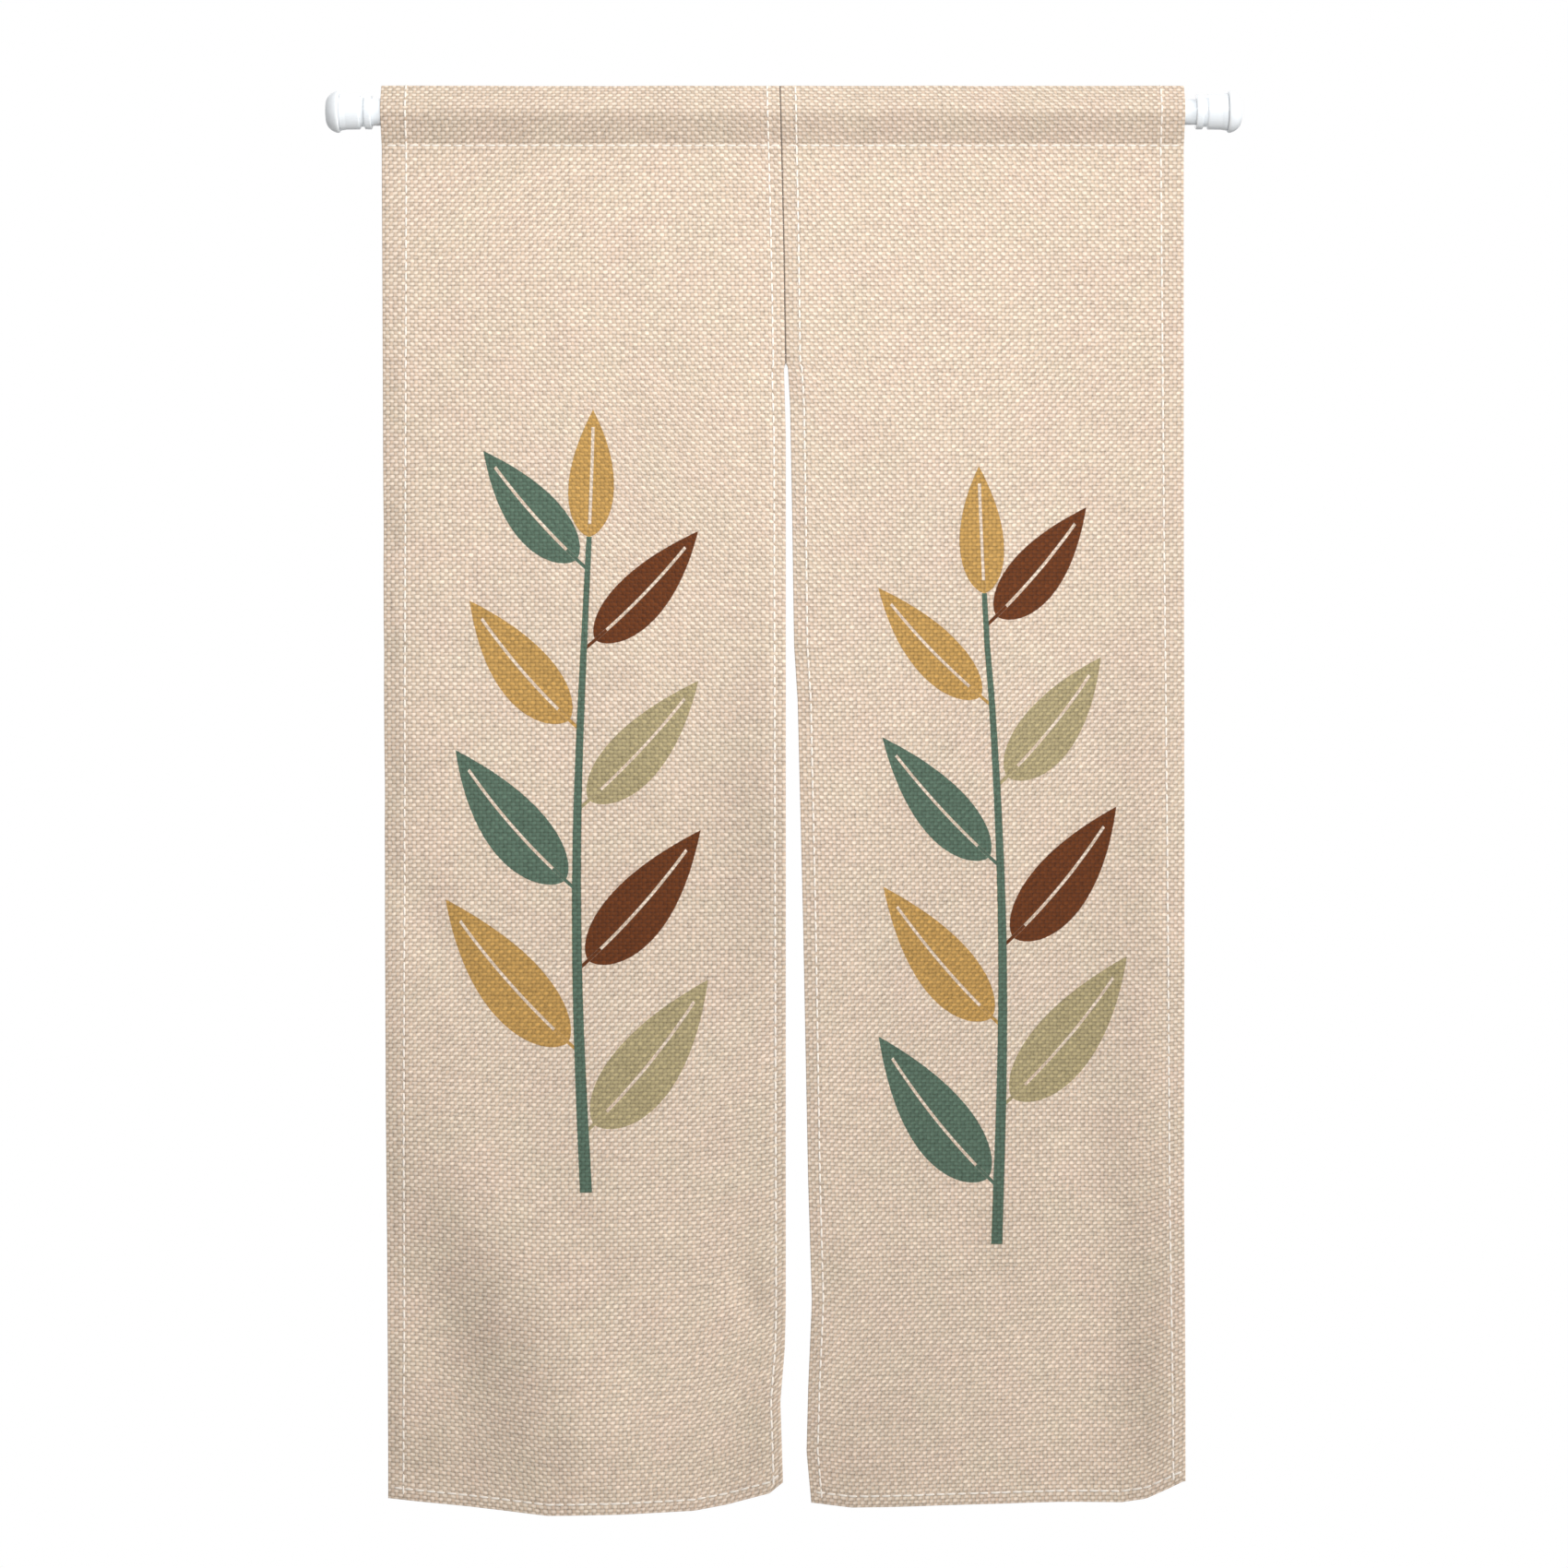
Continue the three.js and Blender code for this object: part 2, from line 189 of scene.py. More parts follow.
# Weave: a plain weave of thick yarns. A pair of numbers is what a value runs between.
WARP_PITCH = 0.00435
WEFT_PITCH = 0.0040
WANDER = dict(scale=7.0, amount=0.5)
JITTER = dict(scale=95.0, amount=0.45)
SLUB = dict(scale=210.0, amount=0.55)
LEAN = dict(scale=2.4, amount=2.8)
LEAN_DOWNWARD = 0.15
LEAN_AT_ROD = -0.06
BODY_WAVES = 26.0
BODY_APART = 7.3
YARN_HALF = (0.305, 0.555)
YARN_BASE = 0.24
YARN_ROUND = 0.5
YARN_CROSSING = 0.26
CROSSING_FADE = 0.16
# Painted shade low between the yarns and painted highlight on their crowns, as tone from the lowest
# height to the highest.
HEIGHT_PAINTED_SHADE = (0.31, 0.945)
BODY_TONE = (0.84, 1.16)

# Places in the noise that keep its uses apart.
NOISE_AT = dict(warp=0.0, ink=1.0, warp_body=2.0, cloth=3.0, weft=4.0, lean=6.0, weft_body=9.0)

# The cloth's colours and surface.
WEFT_ROSE = (0.975, 0.807, 0.670)
WEFT_STRAW = (0.960, 0.819, 0.667)
WARP_ROSE = (0.765, 0.582, 0.444)
WARP_STRAW = (0.750, 0.590, 0.444)
HUE_SCALE = 20.0
HUE_SPREAD = (-1.0, 2.0)
MOTTLE_LEVEL = 0.96
MOTTLE_WIDE = dict(scale=4.0, amount=0.05)
MOTTLE_FINE = dict(scale=60.0, amount=0.03)
# Painted shade: the cloth's colour darkens for each layer sewn on behind it, and over the pocket's
# outside as if by more than one layer.
LAYER_PAINTED_SHADE = 0.045
POCKET_PAINTED_SHADE = 1.6
FIBRES = dict(scale=1400.0, amount=0.10)
WEAVE_DEPTH = 0.0007
WEAVE_STRENGTH = 0.8
CLOTH_ROUGHNESS = (0.95, 0.83)

# The threads' colours and surface.
THREAD_COLOUR = (0.98, 0.90, 0.81)
# The seam's thread is coloured dark as painted shadow in the groove between the panels.
SEAM_THREAD_PAINTED_SHADOW = (0.20, 0.165, 0.135)
TWISTS = 9.0
STRANDS = 2.0
# Painted shade in the grooves of the thread's twist.
THREAD_PAINTED_SHADE = (0.91, 1.0)
THREAD_ROUGHNESS = (0.66, 0.56)
THREAD_DEPTH = 0.0002
THREAD_STRENGTH = 0.25

# Print: a sprig of leaves up each panel. Leaves take the inks in turn, PAIR_TURN further with
# each pair and PANEL_TURN further on the right panel.
SAGE = (0.494, 0.408, 0.221)
TEAL = (0.110, 0.182, 0.131)
MUSTARD = (0.60, 0.350, 0.101)
BROWN = (0.157, 0.040, 0.007)
INKS = (SAGE, MUSTARD, BROWN, TEAL)
PAIR_TURN = 2.0
PANEL_TURN = 3.0
SPRIG_AXIS = 0.212
SPRIG_FOOT = 1.140
SPRIG_SHIFT = 0.060
SPRIG_BEND = 0.010
SPRIG_WAVES = 5.2
STEM_TOP = 0.690
STEM_WIDTH = 0.013
STEM_TAPER = 0.55
LEAF_START = 0.050
LEAF_PITCH = 0.170
LEAF_PAIRS = 4
LEAF_ANGLE = 48.0
LEAF_RISE = 0.010
LEAF_GAP = 0.016
LEAF_CURL = 0.7
LEAF_LENGTH = 0.195
LEAF_SHRINK = 0.07
TOP_LEAF_LENGTH = 0.135
LEAF_SLIMNESS = 0.52
LEAF_FULLNESS = 0.6
LEAF_INSET = 0.0002
RIB_HALF = 0.0016
RIB_END = 0.86
RIB_FADE = 0.003
STALK_HALF = 0.0018
STALK_LENGTH = 0.014
STALK_END = 0.1
STALK_FADE = 0.002
INK_EDGE = 0.0006
INK_BLEED = dict(scale=330.0, amount=0.0012)
INK_COVER = (0.96, 1.0)
# The ink's tone on the warp and on the weft: partly the yarns' own two tones under it, partly
# painted shade of the weave's relief.
INK_TONE_AND_PAINTED_SHADE = (0.88, 1.12)
SHOW_THROUGH = 0.35
SIDE_FADE = 0.0001
COUNT_FADE = 0.01

# Moulded and painted surfaces: faint clouds, scuffs along the rod, and a fine grain.
CLOUDS = dict(scale=18.0, detail=4.0)
CLOUD_TONE = (0.965, 1.015)
CLOUD_ROUGHNESS = 0.08
SCUFFS = dict(scale=3.0, detail=3.0)
SCUFF_STRETCH = (12, 160, 160)
SCUFF_MARK = dict(level=0.66, softness=0.1)
SCUFF_HAZE = dict(level=0.62, softness=0.2)
SCUFF_TONE = 0.03
SCUFF_ROUGHNESS = 0.10
GRAIN_STRENGTH = 0.5

# Studio.
AMBIENT = 0.245
FRONT_WINDOW = dict(azimuth=60.0, elevation=22.0, softness=8.0, level=3.4)
BACK_WINDOW = dict(azimuth=212.0, elevation=24.0, softness=5.0, level=2.1)
KEY_WATTS = 12.6
KEY_SIZE = (1.0, 0.8)
KEY_SPREAD = 90.0
KEY_PLACE = (ROD_MIDDLE + 0.4, -2.6, 0.6)
KEY_AIM = (ROD_MIDDLE, 0.0, -0.1)
FLOOR_DROP = 2.0
FLOOR_RADIUS = 2.0
FLOOR_SIDES = 96

# The panels' edges, in straight lines between these places. The seam is their common one. Upright
# edges are given as (drop, x), lower edges as (x, drop).
SEAM = [
    (-0.030, -0.0039),
    (0.077, -0.0013),
    (0.145, 0.0002),
    (0.268, 0.0022),
]
LEFT_SIDE = [
    (-0.030, -0.4264),
    (1.470, -0.4203),
]
RIGHT_SIDE = [
    (-0.030, 0.4241),
    (1.150, 0.4241),
    (1.450, 0.4258),
]
LEFT_SLIT_EDGE = [
    (0.274, 0.0003),
    (0.340, 0.0022),
    (1.270, 0.0022),
    (1.310, 0.0012),
    (1.366, -0.0035),
    (1.445, -0.0009),
]
RIGHT_SLIT_EDGE = [
    (0.274, 0.0046),
    (0.311, 0.0068),
    (0.428, 0.0090),
    (0.565, 0.0110),
    (0.624, 0.0148),
    (0.860, 0.0206),
    (1.130, 0.0258),
    (1.260, 0.0298),
    (1.350, 0.0260),
    (1.420, 0.0242),
    (1.473, 0.0291),
]
LEFT_LOWER_EDGE = [
    (-0.421, 1.4710),
    (-0.330, 1.4785),
    (-0.250, 1.4870),
    (-0.170, 1.4855),
    (-0.095, 1.4820),
    (-0.060, 1.4755),
    (-0.015, 1.4630),
    (-0.001, 1.4515),
]
RIGHT_LOWER_EDGE = [
    (0.028, 1.4750),
    (0.072, 1.4790),
    (0.170, 1.4756),
    (0.290, 1.4727),
    (0.358, 1.4735),
    (0.384, 1.4695),
    (0.424, 1.4510),
]

# Folds push the cloth back by `back` (forward if negative) at their middle. They fade over
# `width` across and `length` along, and `lean` slants their lower end towards +X, in degrees.
LEFT_FOLDS = [
    dict(x=-0.373, drop=1.278, width=0.060, length=0.155, lean=22, back=0.012),  # slanting trough
    dict(x=-0.291, drop=1.248, width=0.060, length=0.170, lean=22, back=-0.006),  # slanting ridge
    dict(x=-0.450, drop=1.400, width=0.080, length=0.130, lean=20, back=0.012),  # side
    dict(x=-0.205, drop=1.350, width=0.120, length=0.240, lean=0, back=-0.009),  # belly
    dict(x=-0.250, drop=1.398, width=0.170, length=0.050, lean=-2, back=-0.005),  # lower roll
    dict(x=0.018, drop=1.450, width=0.050, length=0.100, lean=8, back=-0.008),  # slit corner
    dict(x=0.010, drop=0.735, width=0.056, length=0.165, lean=0, back=-0.015),  # slit ridge
    dict(x=-0.255, drop=0.800, width=0.090, length=0.320, lean=-6, back=0.005),  # upper trough
]
RIGHT_FOLDS = [
    dict(x=0.352, drop=1.310, width=0.044, length=0.160, lean=0, back=0.004),  # upright trough
    dict(x=0.412, drop=1.310, width=0.044, length=0.160, lean=0, back=-0.007),  # upright ridge
    dict(x=0.400, drop=0.830, width=0.056, length=0.300, lean=-3, back=-0.009),  # side ridge
    dict(x=0.170, drop=1.400, width=0.110, length=0.240, lean=-6, back=-0.007),  # belly
    dict(x=0.022, drop=1.480, width=0.045, length=0.070, lean=-10, back=0.006),  # slit corner
    dict(x=0.010, drop=1.200, width=0.060, length=0.240, lean=0, back=-0.004),  # slit edge
    dict(x=0.235, drop=0.760, width=0.095, length=0.330, lean=5, back=-0.003),  # upper ridge
]

# Finer creases and dimples, read as the folds are.
LEFT_CREASES = [
    dict(x=-0.036, drop=1.260, width=0.022, length=0.034, lean=20, back=0.0042),
    dict(x=-0.385, drop=0.848, width=0.024, length=0.085, lean=32, back=0.0034),
    dict(x=-0.424, drop=0.440, width=0.020, length=0.030, lean=0, back=0.0034),
    dict(x=-0.424, drop=0.570, width=0.018, length=0.022, lean=0, back=0.0028),
    dict(x=-0.420, drop=0.715, width=0.026, length=0.036, lean=-20, back=0.0040),
]
RIGHT_CREASES = [
    dict(x=0.040, drop=1.234, width=0.022, length=0.026, lean=-20, back=0.0044),
    dict(x=0.202, drop=1.190, width=0.026, length=0.036, lean=10, back=0.0030),
    dict(x=0.330, drop=1.080, width=0.030, length=0.050, lean=-20, back=0.0034),
]


def read(table, places):
    """The table's second numbers at places among its first, in straight lines between rows."""
    return np.interp(places, *zip(*table))


def slit_side_edge(slit_edge, side, drop):
    """The edge beside the curtain's middle: on the seam above, and round into the slit below."""
    seam = read(SEAM, drop) + side * SEAM_GAP / 2
    opened = np.clip((drop - SEAM_END) / SLIT_ROUND, 0, 1)
    arch = np.sqrt(1 - (1 - opened) ** 2)
    return seam + arch * (read(slit_edge, drop) - seam)


PANELS = [
    dict(
        node="left_panel",
        name="left_cloth",
        side=-1,
        left=lambda drop: read(LEFT_SIDE, drop),
        right=lambda drop: slit_side_edge(LEFT_SLIT_EDGE, -1, drop),
        lower=lambda x: read(LEFT_LOWER_EDGE, x),
        left_hem=(0.0262, 0.0163),
        right_hem=(0.0135, 0.0100),
        folds=LEFT_FOLDS + LEFT_CREASES,
    ),
    dict(
        node="right_panel",
        name="right_cloth",
        side=1,
        left=lambda drop: slit_side_edge(RIGHT_SLIT_EDGE, 1, drop),
        right=lambda drop: read(RIGHT_SIDE, drop),
        lower=lambda x: read(RIGHT_LOWER_EDGE, x),
        left_hem=(0.0155, 0.0115),
        right_hem=(0.0250, 0.0130),
        folds=RIGHT_FOLDS + RIGHT_CREASES,
    ),
]


def smoothstep(value, low, high):
    share = np.clip((value - low) / (high - low), 0, 1)
    return share * share * (3 - 2 * share)


def fold_depth(folds, x, drop):
    """How far back the folds push the cloth at each place."""
    depth = np.zeros_like(x)
    for fold in folds:
        lean = math.radians(fold["lean"])
        aside = x - fold["x"]
        below = drop - fold["drop"]
        across = (aside * math.cos(lean) - below * math.sin(lean)) / fold["width"]
        along = (aside * math.sin(lean) + below * math.cos(lean)) / fold["length"]
        depth += fold["back"] * np.exp(-across**2 - along**2)
    return depth * smoothstep(drop, STITCH_DROP, FREE_DROP)


def make_camera():
    camera = bpy.data.objects.new("camera", bpy.data.cameras.new("camera"))
    bpy.context.scene.collection.objects.link(camera)
    camera.data.lens = LENS_MM
    camera.data.sensor_width = SENSOR_MM
    distance = PHOTO_PX * METRES_PER_PX * LENS_MM / SENSOR_MM
    camera.location = (ROD_MIDDLE + PHOTO_CENTRE_X, -distance, -PHOTO_CENTRE_DROP)
    camera.rotation_euler = (math.pi / 2, 0, 0)
    bpy.context.scene.camera = camera


def link_mesh(name, vertices, faces, uv_maps=()):
    """A smooth mesh object. Each UV map is given as one place for every vertex."""
    mesh = bpy.data.meshes.new(name)
    mesh.from_pydata(np.asarray(vertices).tolist(), [], np.asarray(faces).tolist())
    mesh.polygons.foreach_set("use_smooth", [True] * len(mesh.polygons))
    corners = np.zeros(len(mesh.loops), np.int32)
    mesh.loops.foreach_get("vertex_index", corners)
    for map_name, places in dict(uv_maps).items():
        layer = mesh.uv_layers.new(name=map_name)
        layer.uv.foreach_set("vector", np.asarray(places, np.float32)[corners].ravel())
    piece = bpy.data.objects.new(name, mesh)
    bpy.context.scene.collection.objects.link(piece)
    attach(piece, "root")
    return piece


def merge_touching(mesh):
    """Closes the mesh where its ends and edges meet, and turns its faces outward."""
    shape = bmesh.new()
    shape.from_mesh(mesh)
    bmesh.ops.remove_doubles(shape, verts=shape.verts, dist=MERGE_DISTANCE)
    bmesh.ops.dissolve_degenerate(shape, edges=shape.edges, dist=MERGE_DISTANCE)
    bmesh.ops.recalc_face_normals(shape, faces=shape.faces)
    shape.to_mesh(mesh)
    shape.free()


# The panels.
def panel_columns():
    """Columns from the left edge to the right, as (side, inset, share of the hem's width).

    Side 0 is the field between the hems, where the inset is a share of the way across.
    """
    edge = [(inset, 0.0) for inset in EDGE_STEPS]
    hem = [(EDGE_STEPS[-1] * (1 - share) - SEWN_REACH * share, share) for share in HEM_SHARES]
    sewn = [(step, 1.0) for step in SEWN_STEPS]
    border = edge + hem + sewn
    field = [(0, share, 0.0) for share in np.linspace(0, 1, FIELD_COLUMNS + 2)[1:-1]]
    left = [(-1, inset, share) for inset, share in border]
    right = [(1, inset, share) for inset, share in reversed(border)]
    return left + field + right


def column_x(panel, column, drop):
    settled = np.clip(drop / HEM_DROP, 0, 1)
    left, right = panel["left"](drop), panel["right"](drop)
    left_hem = np.interp(settled, (0, 1), panel["left_hem"])
    right_hem = np.interp(settled, (0, 1), panel["right_hem"])
    side, inset, share = column
    if side < 0:
        return left + inset + share * left_hem
    if side > 0:
        return right - inset - share * right_hem
    start, end = left + left_hem + SEWN_REACH, right - right_hem - SEWN_REACH
    return start + inset * (end - start)


def panel_rows():
    """Drops of the hanging part from the lower edge up to the pocket's stitching."""
    stitch = HEM_DROP - HEM_HEIGHT
    slit_end = SEAM_END + SLIT_ROUND
    hem = [HEM_DROP - inset for inset in (*EDGE_STEPS, HEM_MIDDLE)]
    sewn = [stitch - step for step in SEWN_STEPS]
    field = np.linspace(stitch - SEWN_REACH, slit_end, FIELD_ROWS)[1:]
    arch = [SEAM_END + SLIT_ROUND * share for share in ARCH_SHARES]
    seamed = np.linspace(SEAM_END, TURNING_DROP + TURNING_CLEAR, SEAMED_ROWS)[1:]
    turning = [TURNING_DROP + step for step in TURNING_STEPS]
    heading = [STITCH_DROP + step for step in HEADING_STEPS]
    return np.concatenate([hem, sewn, field, arch, seamed, turning, heading])


def pocket_section():
    """The pocket in section: inner points (y, z), and the way out through the cloth at each."""
    seat_radius = OUTER_TUBE_RADIUS + FIT_GAP
    crease_height = POCKET_TOP - CLOTH - CREASE_RADIUS
    tilt = math.asin((seat_radius - CREASE_RADIUS) / crease_height)
    stitch_angle = math.atan2(-STITCH_DROP, CLOTH / 2)
    turn = math.acos(seat_radius / math.hypot(STITCH_DROP, CLOTH / 2))

    def arc(height, radius, start, end, steps):
        angles = np.linspace(start, end, steps + 1)
        out = np.stack([np.cos(angles), np.sin(angles)], 1)
        return out * radius + (0, height), out

    def flank(start, end, out, steps):
        shares = np.linspace(0, 1, steps + 1)[1:-1, None]
        return start + (end - start) * shares, np.repeat(out[None], len(shares), 0)

    fork = np.array([CLOTH / 2, -STITCH_DROP])
    front = arc(0, seat_radius, stitch_angle - turn + 2 * math.pi, math.pi - tilt, SEAT_STEPS)
    crease = arc(crease_height, CREASE_RADIUS, math.pi - tilt, tilt, CREASE_STEPS)
    back = arc(0, seat_radius, tilt, stitch_angle + turn, SEAT_STEPS)
    parts = [
        flank(fork, front[0][0], front[1][0], FORK_STEPS),
        front,
        flank(front[0][-1], crease[0][0], crease[1][0], FLANK_STEPS),
        crease,
        flank(crease[0][-1], back[0][0], back[1][0], FLANK_STEPS),
        back,
        flank(back[0][-1], fork, back[1][-1], FORK_STEPS),
    ]
    return tuple(np.concatenate(halves) for halves in zip(*parts))


def edge_round(inset):
    """Share of the full thickness at each distance from a rounded, folded edge."""
    return np.sqrt(1 - (1 - np.clip(inset / EDGE_STEPS[-1], 0, 1)) ** 2)


def soft_noise(across, down, seed, kind):
    """Smooth noise about zero, with the kind's waves across and down."""
    across, down = np.broadcast_arrays(across, down)
    places = zip((across * kind["across"]).ravel(), (down * kind["down"]).ravel())
    return np.array([noise.noise(Vector((p, q, seed))) for p, q in places]).reshape(across.shape)


def near(distance, reach):
    """1 on a line, and fading over the reach away from it."""
    return np.exp(-((distance / reach) ** 2))


def hang(panel, columns, rows):
    """x and drop at each column and row, let down to where the panel's lower edge hangs."""
    settle = np.clip((rows - LEVEL_DROP) / (HEM_DROP - HEM_HEIGHT - LEVEL_DROP), 0, 1)
    x, drop = np.zeros((2, len(columns), len(rows)))
    for index, column in enumerate(columns):
        lowered = rows
        for _ in range(LEVELLING_ROUNDS):
            lowered = rows + settle * (panel["lower"](column_x(panel, column, lowered)) - HEM_DROP)
        x[index], drop[index] = column_x(panel, column, lowered), lowered
    return x, drop


def layers_behind(row, inside_hems, above_hem):
    """How many layers are sewn on behind the cloth."""
    past_fold = (HEM_OVERHANG - TURNED_FADE, HEM_OVERHANG + TURNED_FADE)
    side_hems = 1 - smoothstep(inside_hems, *past_fold)
    side_hems = side_hems * smoothstep(row, STITCH_DROP, STITCH_DROP + HEM_START)
    lower_hem = 1 - smoothstep(above_hem, *past_fold)
    turning = 1 - smoothstep(row, TURNING_DROP, TURNING_DROP + 2 * TURNED_FADE)
    return side_hems + lower_hem + turning


def hanging_part(panel, columns, rows):
    """x, drop, front y, back y and layers sewn on behind, at each column and row."""
    x, drop = hang(panel, columns, rows)
    row = np.broadcast_to(rows, x.shape)
    left_line, right_line = (x[index][None] for index in panel["sewn_columns"])
    side_inset = np.minimum(x - x[:1], x[-1:] - x)
    lower_inset = HEM_DROP - row
    inside_hems = np.minimum(x - left_line, right_line - x)
    above_hem = lower_inset - HEM_HEIGHT
    below_heading = row - STITCH_DROP

    def waves(kind):
        return soft_noise(x, drop, PANEL_SEED * panel["side"] + kind["seed"], kind)

    free = smoothstep(drop, STITCH_DROP, FREE_DROP)
    held = UNEVEN_FINE["at_heading"]
    pull = HEADING_PUCKER["pull"] * waves(HEADING_PUCKER)
    pulled = near(below_heading, HEADING_PUCKER["reach"])
    pulled = pulled * smoothstep(below_heading, 0, HEADING_PUCKER["start"])
    depth = fold_depth(panel["folds"], x, drop)
    depth += free * UNEVEN_WIDE["depth"] * waves(UNEVEN_WIDE)
    depth += UNEVEN_FINE["depth"] * waves(UNEVEN_FINE) * (held + (1 - held) * free)
    depth += free * EDGE_CURL["depth"] * near(side_inset, EDGE_CURL["reach"])
    depth += SIDE_PUCKER["depth"] * waves(SIDE_PUCKER) * near(inside_hems, SIDE_PUCKER["reach"])
    depth += HEM_PUCKER["depth"] * waves(HEM_PUCKER) * near(above_hem, HEM_PUCKER["reach"])
    depth += HEADING_PUCKER["depth"] * pull * pulled

    reach = STITCH_PINCH["reach"]
    hems = np.maximum(near(inside_hems, reach), near(above_hem, reach))
    pinch = STITCH_PINCH["depth"] * np.maximum(hems, near(below_heading, reach) * (1 + pull))
    layers = layers_behind(row, inside_hems, above_hem)
    front = depth - CLOTH / 2 + pinch
    back = depth + CLOTH / 2 + layers * CLOTH - pinch
    middle = (front + back) / 2
    half = (back - front) / 2 * edge_round(side_inset) * edge_round(lower_inset)
    return x, drop, middle - half, middle + half, layers


def pocket_part(panel, columns):
    """The pocket's outer and inner points at each column."""
    section, out = pocket_section()
    x = np.array([column_x(panel, column, -section[:, 1]) for column in columns])
    share = edge_round(np.minimum(x - x[:1], x[-1:] - x))[..., None]
    along = np.linspace(0, 1, len(section))
    waves = soft_noise(x, along[None], panel["side"] * POCKET_SLACK["seed"], POCKET_SLACK)
    slack = POCKET_SLACK["depth"] * (POCKET_SLACK["level"] + waves)
    slack = np.clip(slack * np.sin(along * math.pi), 0, None)[..., None]
    middle = section + out * (CLOTH / 2 + slack)
    half = out * CLOTH / 2 * share
    x = x[..., None] + ROD_MIDDLE
    return [np.concatenate([x, middle + side * half], -1) for side in (1, -1)]


def panel_grid(panel):
    """The panel as rings of points, one ring to a column: outline, tunnel and cloth places."""
    columns, rows = panel_columns(), panel_rows()
    panel["sewn_columns"] = [
        index for index, column in enumerate(columns) if column[0] and column[1:] == (0.0, 1.0)]
    x, drop, front, back, layers = hanging_part(panel, columns, rows)
    outer, inner = pocket_part(panel, columns)
    front = np.stack([x + ROD_MIDDLE, front, -drop], -1)
    back = np.stack([x + ROD_MIDDLE, back, -drop], -1)[:, ::-1]
    fork = front[:, -1:] * (1, 0, 1) + (0, CLOTH / 2, 0)
    outline = np.concatenate([front, outer, back], 1)
    tunnel = np.concatenate([fork, inner], 1)

    width = outline[-1:, :, 0] - outline[:1, :, 0]
    across = (outline[..., 0] - outline[:1, :, 0]) / width * PANEL_WIDTH
    across -= PANEL_WIDTH * (panel["side"] < 0)
    middle = outline[len(columns) // 2, len(rows) - 1:len(rows) + outer.shape[1] + 1]
    looped = np.cumsum(np.linalg.norm(np.diff(middle, axis=0), axis=1))
    turned = STITCH_DROP - looped[-1] - (rows - STITCH_DROP)
    behind = np.where(rows > TURNING_DROP, rows, turned)[::-1]
    down = np.concatenate([rows, STITCH_DROP - looped[:-1], behind])
    wrong_side = np.zeros(outline.shape[1])
    wrong_side[-len(rows):] = (rows > TURNING_DROP)[::-1]
    # Painted shade over the pocket's outside, given as a number of layers.
    painted_pocket_shade = np.full(outer.shape[:2], POCKET_PAINTED_SHADE)
    return dict(
        outline=outline,
        tunnel=tunnel,
        rows=rows,
        across=across,
        down=np.broadcast_to(down, across.shape),
        wrong_side=np.broadcast_to(wrong_side, across.shape),
        layers=np.concatenate([layers, painted_pocket_shade, layers[:, ::-1]], 1),
        normals=surface_normals(outline),
    )


def surface_normals(grid):
    across, along = np.gradient(grid, axis=0), np.gradient(grid, axis=1)
    normals = np.cross(across, along)
    return normals / np.maximum(np.linalg.norm(normals, axis=-1, keepdims=True), TINY)


def ring_quads(columns, ring, size, start):
    """Quads between neighbouring columns, for `size` points of each ring from `start`."""
    column = np.arange(columns - 1)[:, None] * ring + start
    place = np.arange(size)[None]
    after = (place + 1) % size
    corners = [column + place, column + ring + place, column + ring + after, column + after]
    return np.stack(corners, -1).reshape(-1, 4)


def bake_places(outline, across, first, hidden):
    """Places on a flat picture, the cloth's front and back side by side, the tunnel below."""
    count, size = outline.shape[:2]
    steps = np.linalg.norm(np.diff(outline[count // 2], axis=0), axis=1)
    length = np.concatenate([[0], np.cumsum(steps)])
    turn = first + (size - 2 * first) // 2
    down = np.where(np.arange(size) <= turn, length, 2 * length[turn] - length)
    down = np.concatenate([down, length[first] + np.linspace(0, BAKE_TUNNEL, hidden)])
    share = (across - across[:1]) / PANEL_WIDTH
    share = np.concatenate([share, share[:, first:first + hidden]], 1)
    second = np.concatenate([np.arange(size) > turn, np.ones(hidden)])
    return np.stack([
        BAKE_MARGIN + BAKE_WIDTH * share + BAKE_SECOND * second,
        BAKE_MARGIN + BAKE_HEIGHT * np.broadcast_to(down / down.max(), share.shape),
    ], -1)


def make_panel(panel, grid, look):
    outline, tunnel = grid["outline"], grid["tunnel"]
    count, size = outline.shape[:2]
    hidden = tunnel.shape[1]
    first = len(grid["rows"]) - 1

    def with_tunnel(values, tunnel_values):
        return np.concatenate([values, tunnel_values], 1)

    across, down = (
        with_tunnel(grid[name], grid[name][:, first:first + hidden]) for name in ("across", "down"))
    attributes = {
        "wrong_side": with_tunnel(grid["wrong_side"], np.ones((count, hidden))),
        "layers": with_tunnel(grid["layers"], np.zeros((count, hidden))),
    }
    uv_maps = {
        "cloth": np.stack([across, down], -1).reshape(-1, 2),
        "OFBake": bake_places(outline, grid["across"], first, hidden).reshape(-1, 2),
    }
    faces = np.concatenate([
        ring_quads(count, size + hidden, size, 0),
        ring_quads(count, size + hidden, hidden, size),
    ])
    points = with_tunnel(outline, tunnel).reshape(-1, 3)
    piece = link_mesh(panel["name"], points, faces, uv_maps)
    for name, values in attributes.items():
        attribute = piece.data.attributes.new(name, "FLOAT", "POINT")
        attribute.data.foreach_set("value", values.astype(np.float32).ravel())
    merge_touching(piece.data)
    piece.data.materials.append(look)
    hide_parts(panel["node"])
    return piece


